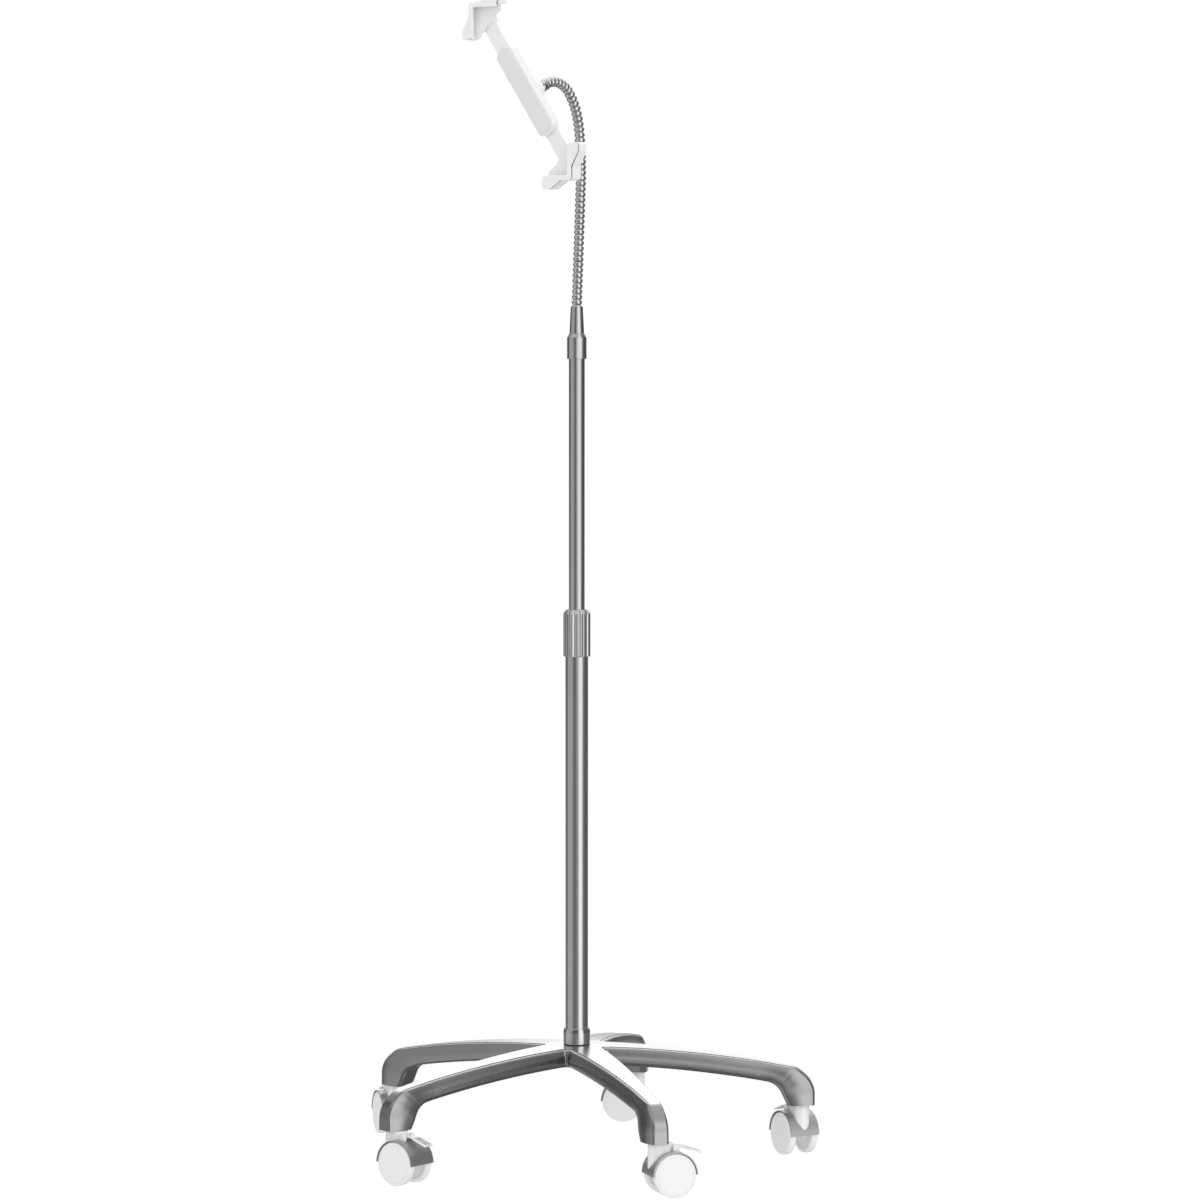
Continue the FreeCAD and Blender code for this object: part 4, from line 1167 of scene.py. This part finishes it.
def grip_place(upper):
    """Where a grip drawn at the opening's upper left corner goes: there, or half a turn round."""
    return HOLDER if upper else HOLDER @ Matrix.Rotation(math.pi, 4, "Y")


def groove_shade_strip(upper, body):
    """Dark grey strip at the bottom of the groove round a grip's wall and ears: painted shade of the crease
    there.
    """
    top = GRIP_WALL - GROOVE_DEPTH + SHADE_STRIP_RISE
    low = top - SHADE_STRIP_DEPTH
    front = GROOVE_FRONT + SHADE_STRIP_GAP
    back = GROOVE_BACK - SHADE_STRIP_GAP
    shape = bmesh.new()
    round_corner(shape, [(low, front), (low, back), (top, back), (top, front)])
    for ear in ear_outlines(GROOVE_DEPTH - SHADE_STRIP_RISE):
        slab(shape, ear, front, back)
    bmesh.ops.transform(shape, matrix=OPENING_CORNER, verts=shape.verts)
    piece(body + "_groove_shade_strip", shape, "grey_nylon", body, [], place=grip_place(upper))


def corner_grip(name, upper, body, node):
    """L-shaped grip: lip and wall swept round the corner, back plate, gusset and two flared ears."""
    shape = bmesh.new()
    groove = GRIP_WALL - GROOVE_DEPTH
    wall = rounded([(GRIP_WALL, LIP_FRONT, 0.9), (GRIP_WALL, GROOVE_FRONT, 0.2), (groove, GROOVE_FRONT, 0),
                    (groove, GROOVE_BACK, 0), (GRIP_WALL, GROOVE_BACK, 0.2), (GRIP_WALL, GRIP_BACK, 0.8),
                    (GRIP_PAD, GRIP_BACK, 0.6), (GRIP_PAD, OPENING_FRONT, 0.3),
                    (-LIP_OVERLAP, OPENING_FRONT, 0.6), (-LIP_OVERLAP, LIP_FRONT, 0.9)], 4)
    round_corner(shape, wall)
    end = GRIP_ARM - PLATE_INSET
    plate = rounded([(-PLATE_REACH, PLATE_REACH, 3.5), (end, PLATE_REACH, 0.8), (end, -8, 3), (24, -24, 14),
                     (8, -end, 3), (-PLATE_REACH, -end, 0.8)], 8)
    slab(shape, plate, OPENING_BACK + FACE_INSET, OPENING_BACK + PLATE_THICKNESS)
    steps = ((EAR_FRONT, 0), (GROOVE_FRONT, 0), (GROOVE_FRONT, GROOVE_DEPTH), (GROOVE_BACK, GROOVE_DEPTH),
             (GROOVE_BACK, 0), (EAR_BACK, 0))
    for arm in (0, 1):
        verts = skin(shape, [[upright(point, depth) for point in ear_outlines(inset)[arm]]
                             for depth, inset in steps])
        shape.faces.new(verts[0])
        shape.faces.new(verts[-1])
    bmesh.ops.transform(shape, matrix=OPENING_CORNER, verts=shape.verts)
    reach = math.hypot(OPENING_HALF_WIDTH, OPENING_HALF_HEIGHT)
    low, high = reach - GUSSET_START, reach - GUSSET_END
    gusset = rounded([(-GUSSET_HALF_WIDTH, low, 4), (GUSSET_HALF_WIDTH, low, 4),
                      (GUSSET_HALF_WIDTH, high, 4), (-GUSSET_HALF_WIDTH, high, 4)])
    turn = Matrix.Rotation(SLIDE_TURN, 3, "Y")
    slab(shape, gusset, OPENING_BACK + 1, GRIP_BACK, lambda point, depth: turn @ upright(point, depth))
    piece(name, shape, "white_plastic", body, [node], SOFT_EDGE, grip_place(upper))


ferrule()
ball_stud()
ball_nut()
shells()
corner_grip("upper_corner_grip", True, "upper_grip", "corner_grip_upper")
corner_grip("lower_corner_grip", False, "lower_grip", "corner_grip_lower")
groove_shade_strip(True, "upper_grip")
groove_shade_strip(False, "lower_grip")


# Camera, in metres and radians, with its picture in pixels

CAMERA_AZIMUTH = math.radians(40.26)
CAMERA_DISTANCE = 6.905
CAMERA_HEIGHT = 1.2544
CAMERA_PITCH = 0.0679
IMAGE_SIDE = 1200
FOCAL_PIXELS = 4957.74
POLE_PIXEL = 576.8
SENSOR = 36.0


def add_camera():
    """Camera that looks slightly down, shifted to put the pole on its own column of the picture."""
    camera = bpy.data.cameras.new("camera")
    camera.sensor_width = SENSOR
    camera.lens = SENSOR * FOCAL_PIXELS / IMAGE_SIDE
    camera.shift_x = (IMAGE_SIDE / 2 - POLE_PIXEL) / IMAGE_SIDE
    holder = bpy.data.objects.new("camera", camera)
    scene.collection.objects.link(holder)
    holder.location = (CAMERA_DISTANCE * math.sin(CAMERA_AZIMUTH),
                       -CAMERA_DISTANCE * math.cos(CAMERA_AZIMUTH), CAMERA_HEIGHT)
    holder.rotation_euler = (math.pi / 2 - CAMERA_PITCH, 0, CAMERA_AZIMUTH)
    scene.camera = holder


# Floor and light. How bright each thing is that the metal mirrors

WALLS = 0.38
FLOOR = 0.24
UPPER_WALLS = 0.14
CEILING = 0.9
CEILING_HOLE = 0.8
SOFT_BOX = 1.2
TALL_BOX = 1.45
BLACK_CLOTH = 0.1
CLOTH_ON_FLOOR = 0.25
SIDE_WALL = 0.4
SIDE_WALL_GLOW = 0.15
DARK_STRIP = 0.2
REAR_FLOOR = 0.5
REAR_WALL = 1.0

# Where it stands: its azimuth, then the angles where it begins to fade and ends, in degrees

SOFT_BOX_AT = (72.0, 25.0, 40.0)
TALL_BOX_AT = (78.0, 14.0, 24.0)
BLACK_CLOTH_AT = (211.0, 80.0, 97.0)
SIDE_WALL_AT = (-35.0, 22.0, 42.0)
DARK_STRIP_AT = (17.0, 5.0, 14.0)
REAR_FLOOR_AT = (220.0, 25.0, 45.0)
REAR_WALL_AT = (220.0, 30.0, 50.0)
CEILING_HOLE_AT = (-105.0, 40.0, 70.0)

# Upward parts of a direction between which one band passes into the next

FLOOR_TO_WALLS = (-0.13, -0.02)
WALLS_TO_UPPER = (0.05, 0.15)
UPPER_TO_CEILING = (0.45, 0.85)
TALL_BOX_FOOT = (-0.8, -0.3)
REAR_FLOOR_EDGE = (-0.5, -0.3)
REAR_WALL_EDGE = (0.05, 0.12)

# How much even light the surfaces get from the floor and from all round

SOFT_FLOOR = 0.85
SOFT_SKY = 0.95
WHITE = (1.0, 1.0, 1.0, 1.0)
BLACK = (0.0, 0.0, 0.0, 1.0)


def lobe(tree, around, azimuth, inner, outer):
    """How near a level direction is to an azimuth: 1 within the inner angle, 0 beyond the outer one."""
    angle = math.radians(azimuth)
    aim = (math.sin(angle), -math.cos(angle), 0.0)
    near = tree.value("ShaderNodeVectorMath", {"operation": "DOT_PRODUCT"}, {0: around, 1: aim}, "Value")
    return near.between(math.cos(math.radians(outer)), math.cos(math.radians(inner)))


def by_ray(tree, mirrored, soft):
    """White for the camera, and apart from that what gloss mirrors and what lights the surfaces."""
    path = tree.node("ShaderNodeLightPath", {}, {})
    camera = Value(tree, path.outputs["Is Camera Ray"])
    glossy = Value(tree, path.outputs["Is Glossy Ray"])
    return camera + (1 - camera) * (glossy * mirrored + (1 - glossy) * soft)


def add_floor(radius):
    """A white floor that the metal doesn't mirror."""
    mesh = bpy.data.meshes.new("floor")
    shape = bmesh.new()
    bmesh.ops.create_circle(shape, cap_ends=True, segments=96, radius=radius)
    shape.to_mesh(mesh)
    shape.free()
    floor = bpy.data.objects.new("floor", mesh)
    floor.visible_glossy = False
    scene.collection.objects.link(floor)
    finish = Finish("floor", {"Base Color": BLACK, "Roughness": 1.0, "Specular IOR Level": 0.0,
                              "Emission Color": WHITE})
    finish.set({"Emission Strength": by_ray(finish, 0.0, SOFT_FLOOR)})
    mesh.materials.append(finish.material)


def add_softbox(name, azimuth, height, distance, size, radiance, aim=0.8):
    """A soft box that lights the surfaces, at an azimuth counted like the camera's."""
    lamp = bpy.data.lights.new(name, "AREA")
    lamp.shape = "RECTANGLE"
    lamp.size, lamp.size_y = size
    lamp.energy = radiance * math.pi * size[0] * size[1]
    holder = bpy.data.objects.new(name, lamp)
    holder.visible_glossy = False
    scene.collection.objects.link(holder)
    angle = math.radians(azimuth)
    holder.location = (distance * math.sin(angle), -distance * math.cos(angle), height)
    aimed = Vector((0, 0, aim)) - holder.location
    holder.rotation_euler = aimed.to_track_quat("-Z", "Y").to_euler()


def studio(tree, way):
    """What the metal mirrors: bands of floor, walls, upper walls and ceiling, with boxes and cloth."""
    height = tree.value("ShaderNodeSeparateXYZ", {}, {"Vector": way}, "Z")
    flat = tree.node("ShaderNodeVectorMath", {"operation": "MULTIPLY"}, {0: way, 1: (1.0, 1.0, 0.0)})
    around = tree.node("ShaderNodeVectorMath", {"operation": "NORMALIZE"}, {0: flat.outputs[0]}).outputs[0]
    cloth = lobe(tree, around, *BLACK_CLOTH_AT)
    tall_box = lobe(tree, around, *TALL_BOX_AT)
    side_wall = lobe(tree, around, *SIDE_WALL_AT)
    walls = (WALLS + (SOFT_BOX - WALLS) * lobe(tree, around, *SOFT_BOX_AT) - (WALLS - BLACK_CLOTH) * cloth
             + SIDE_WALL_GLOW * side_wall - DARK_STRIP * lobe(tree, around, *DARK_STRIP_AT))
    floor = (FLOOR * (1 - CLOTH_ON_FLOOR * cloth) + TALL_BOX * tall_box * height.between(*TALL_BOX_FOOT)
             + SIDE_WALL * side_wall
             + REAR_FLOOR * lobe(tree, around, *REAR_FLOOR_AT) * height.between(*REAR_FLOOR_EDGE))
    upper = UPPER_WALLS + TALL_BOX * tall_box + SIDE_WALL * side_wall
    light = floor + (walls - floor) * height.between(*FLOOR_TO_WALLS)
    light = light + (upper - light) * height.between(*WALLS_TO_UPPER)
    ceiling = (CEILING - light) * height.between(*UPPER_TO_CEILING)
    light = light + ceiling * (1 - CEILING_HOLE * lobe(tree, around, *CEILING_HOLE_AT))
    return light + REAR_WALL * lobe(tree, around, *REAR_WALL_AT) * height.between(*REAR_WALL_EDGE)


def add_world():
    """White for the camera, the studio for gloss and an even light for the surfaces."""
    world = bpy.data.worlds.new("studio")
    world.use_nodes = True
    scene.world = world
    tree = Tree(world.node_tree)
    tree.tree.nodes.clear()
    way = tree.node("ShaderNodeTexCoord", {}, {}).outputs["Generated"]
    strength = by_ray(tree, studio(tree, way), SOFT_SKY)
    light = tree.node("ShaderNodeBackground", {}, {"Color": WHITE, "Strength": strength})
    tree.node("ShaderNodeOutputWorld", {}, {"Surface": light.outputs[0]})


add_camera()
add_floor(radius=60.0)
add_softbox("key_light", azimuth=69.0, height=1.5, distance=3.4, size=(1.6, 3.2), radiance=1.2)
add_softbox("top_light", azimuth=40.0, height=4.0, distance=1.2, size=(2.6, 2.6), radiance=0.5)
add_world()
scene.view_settings.view_transform = "Standard"
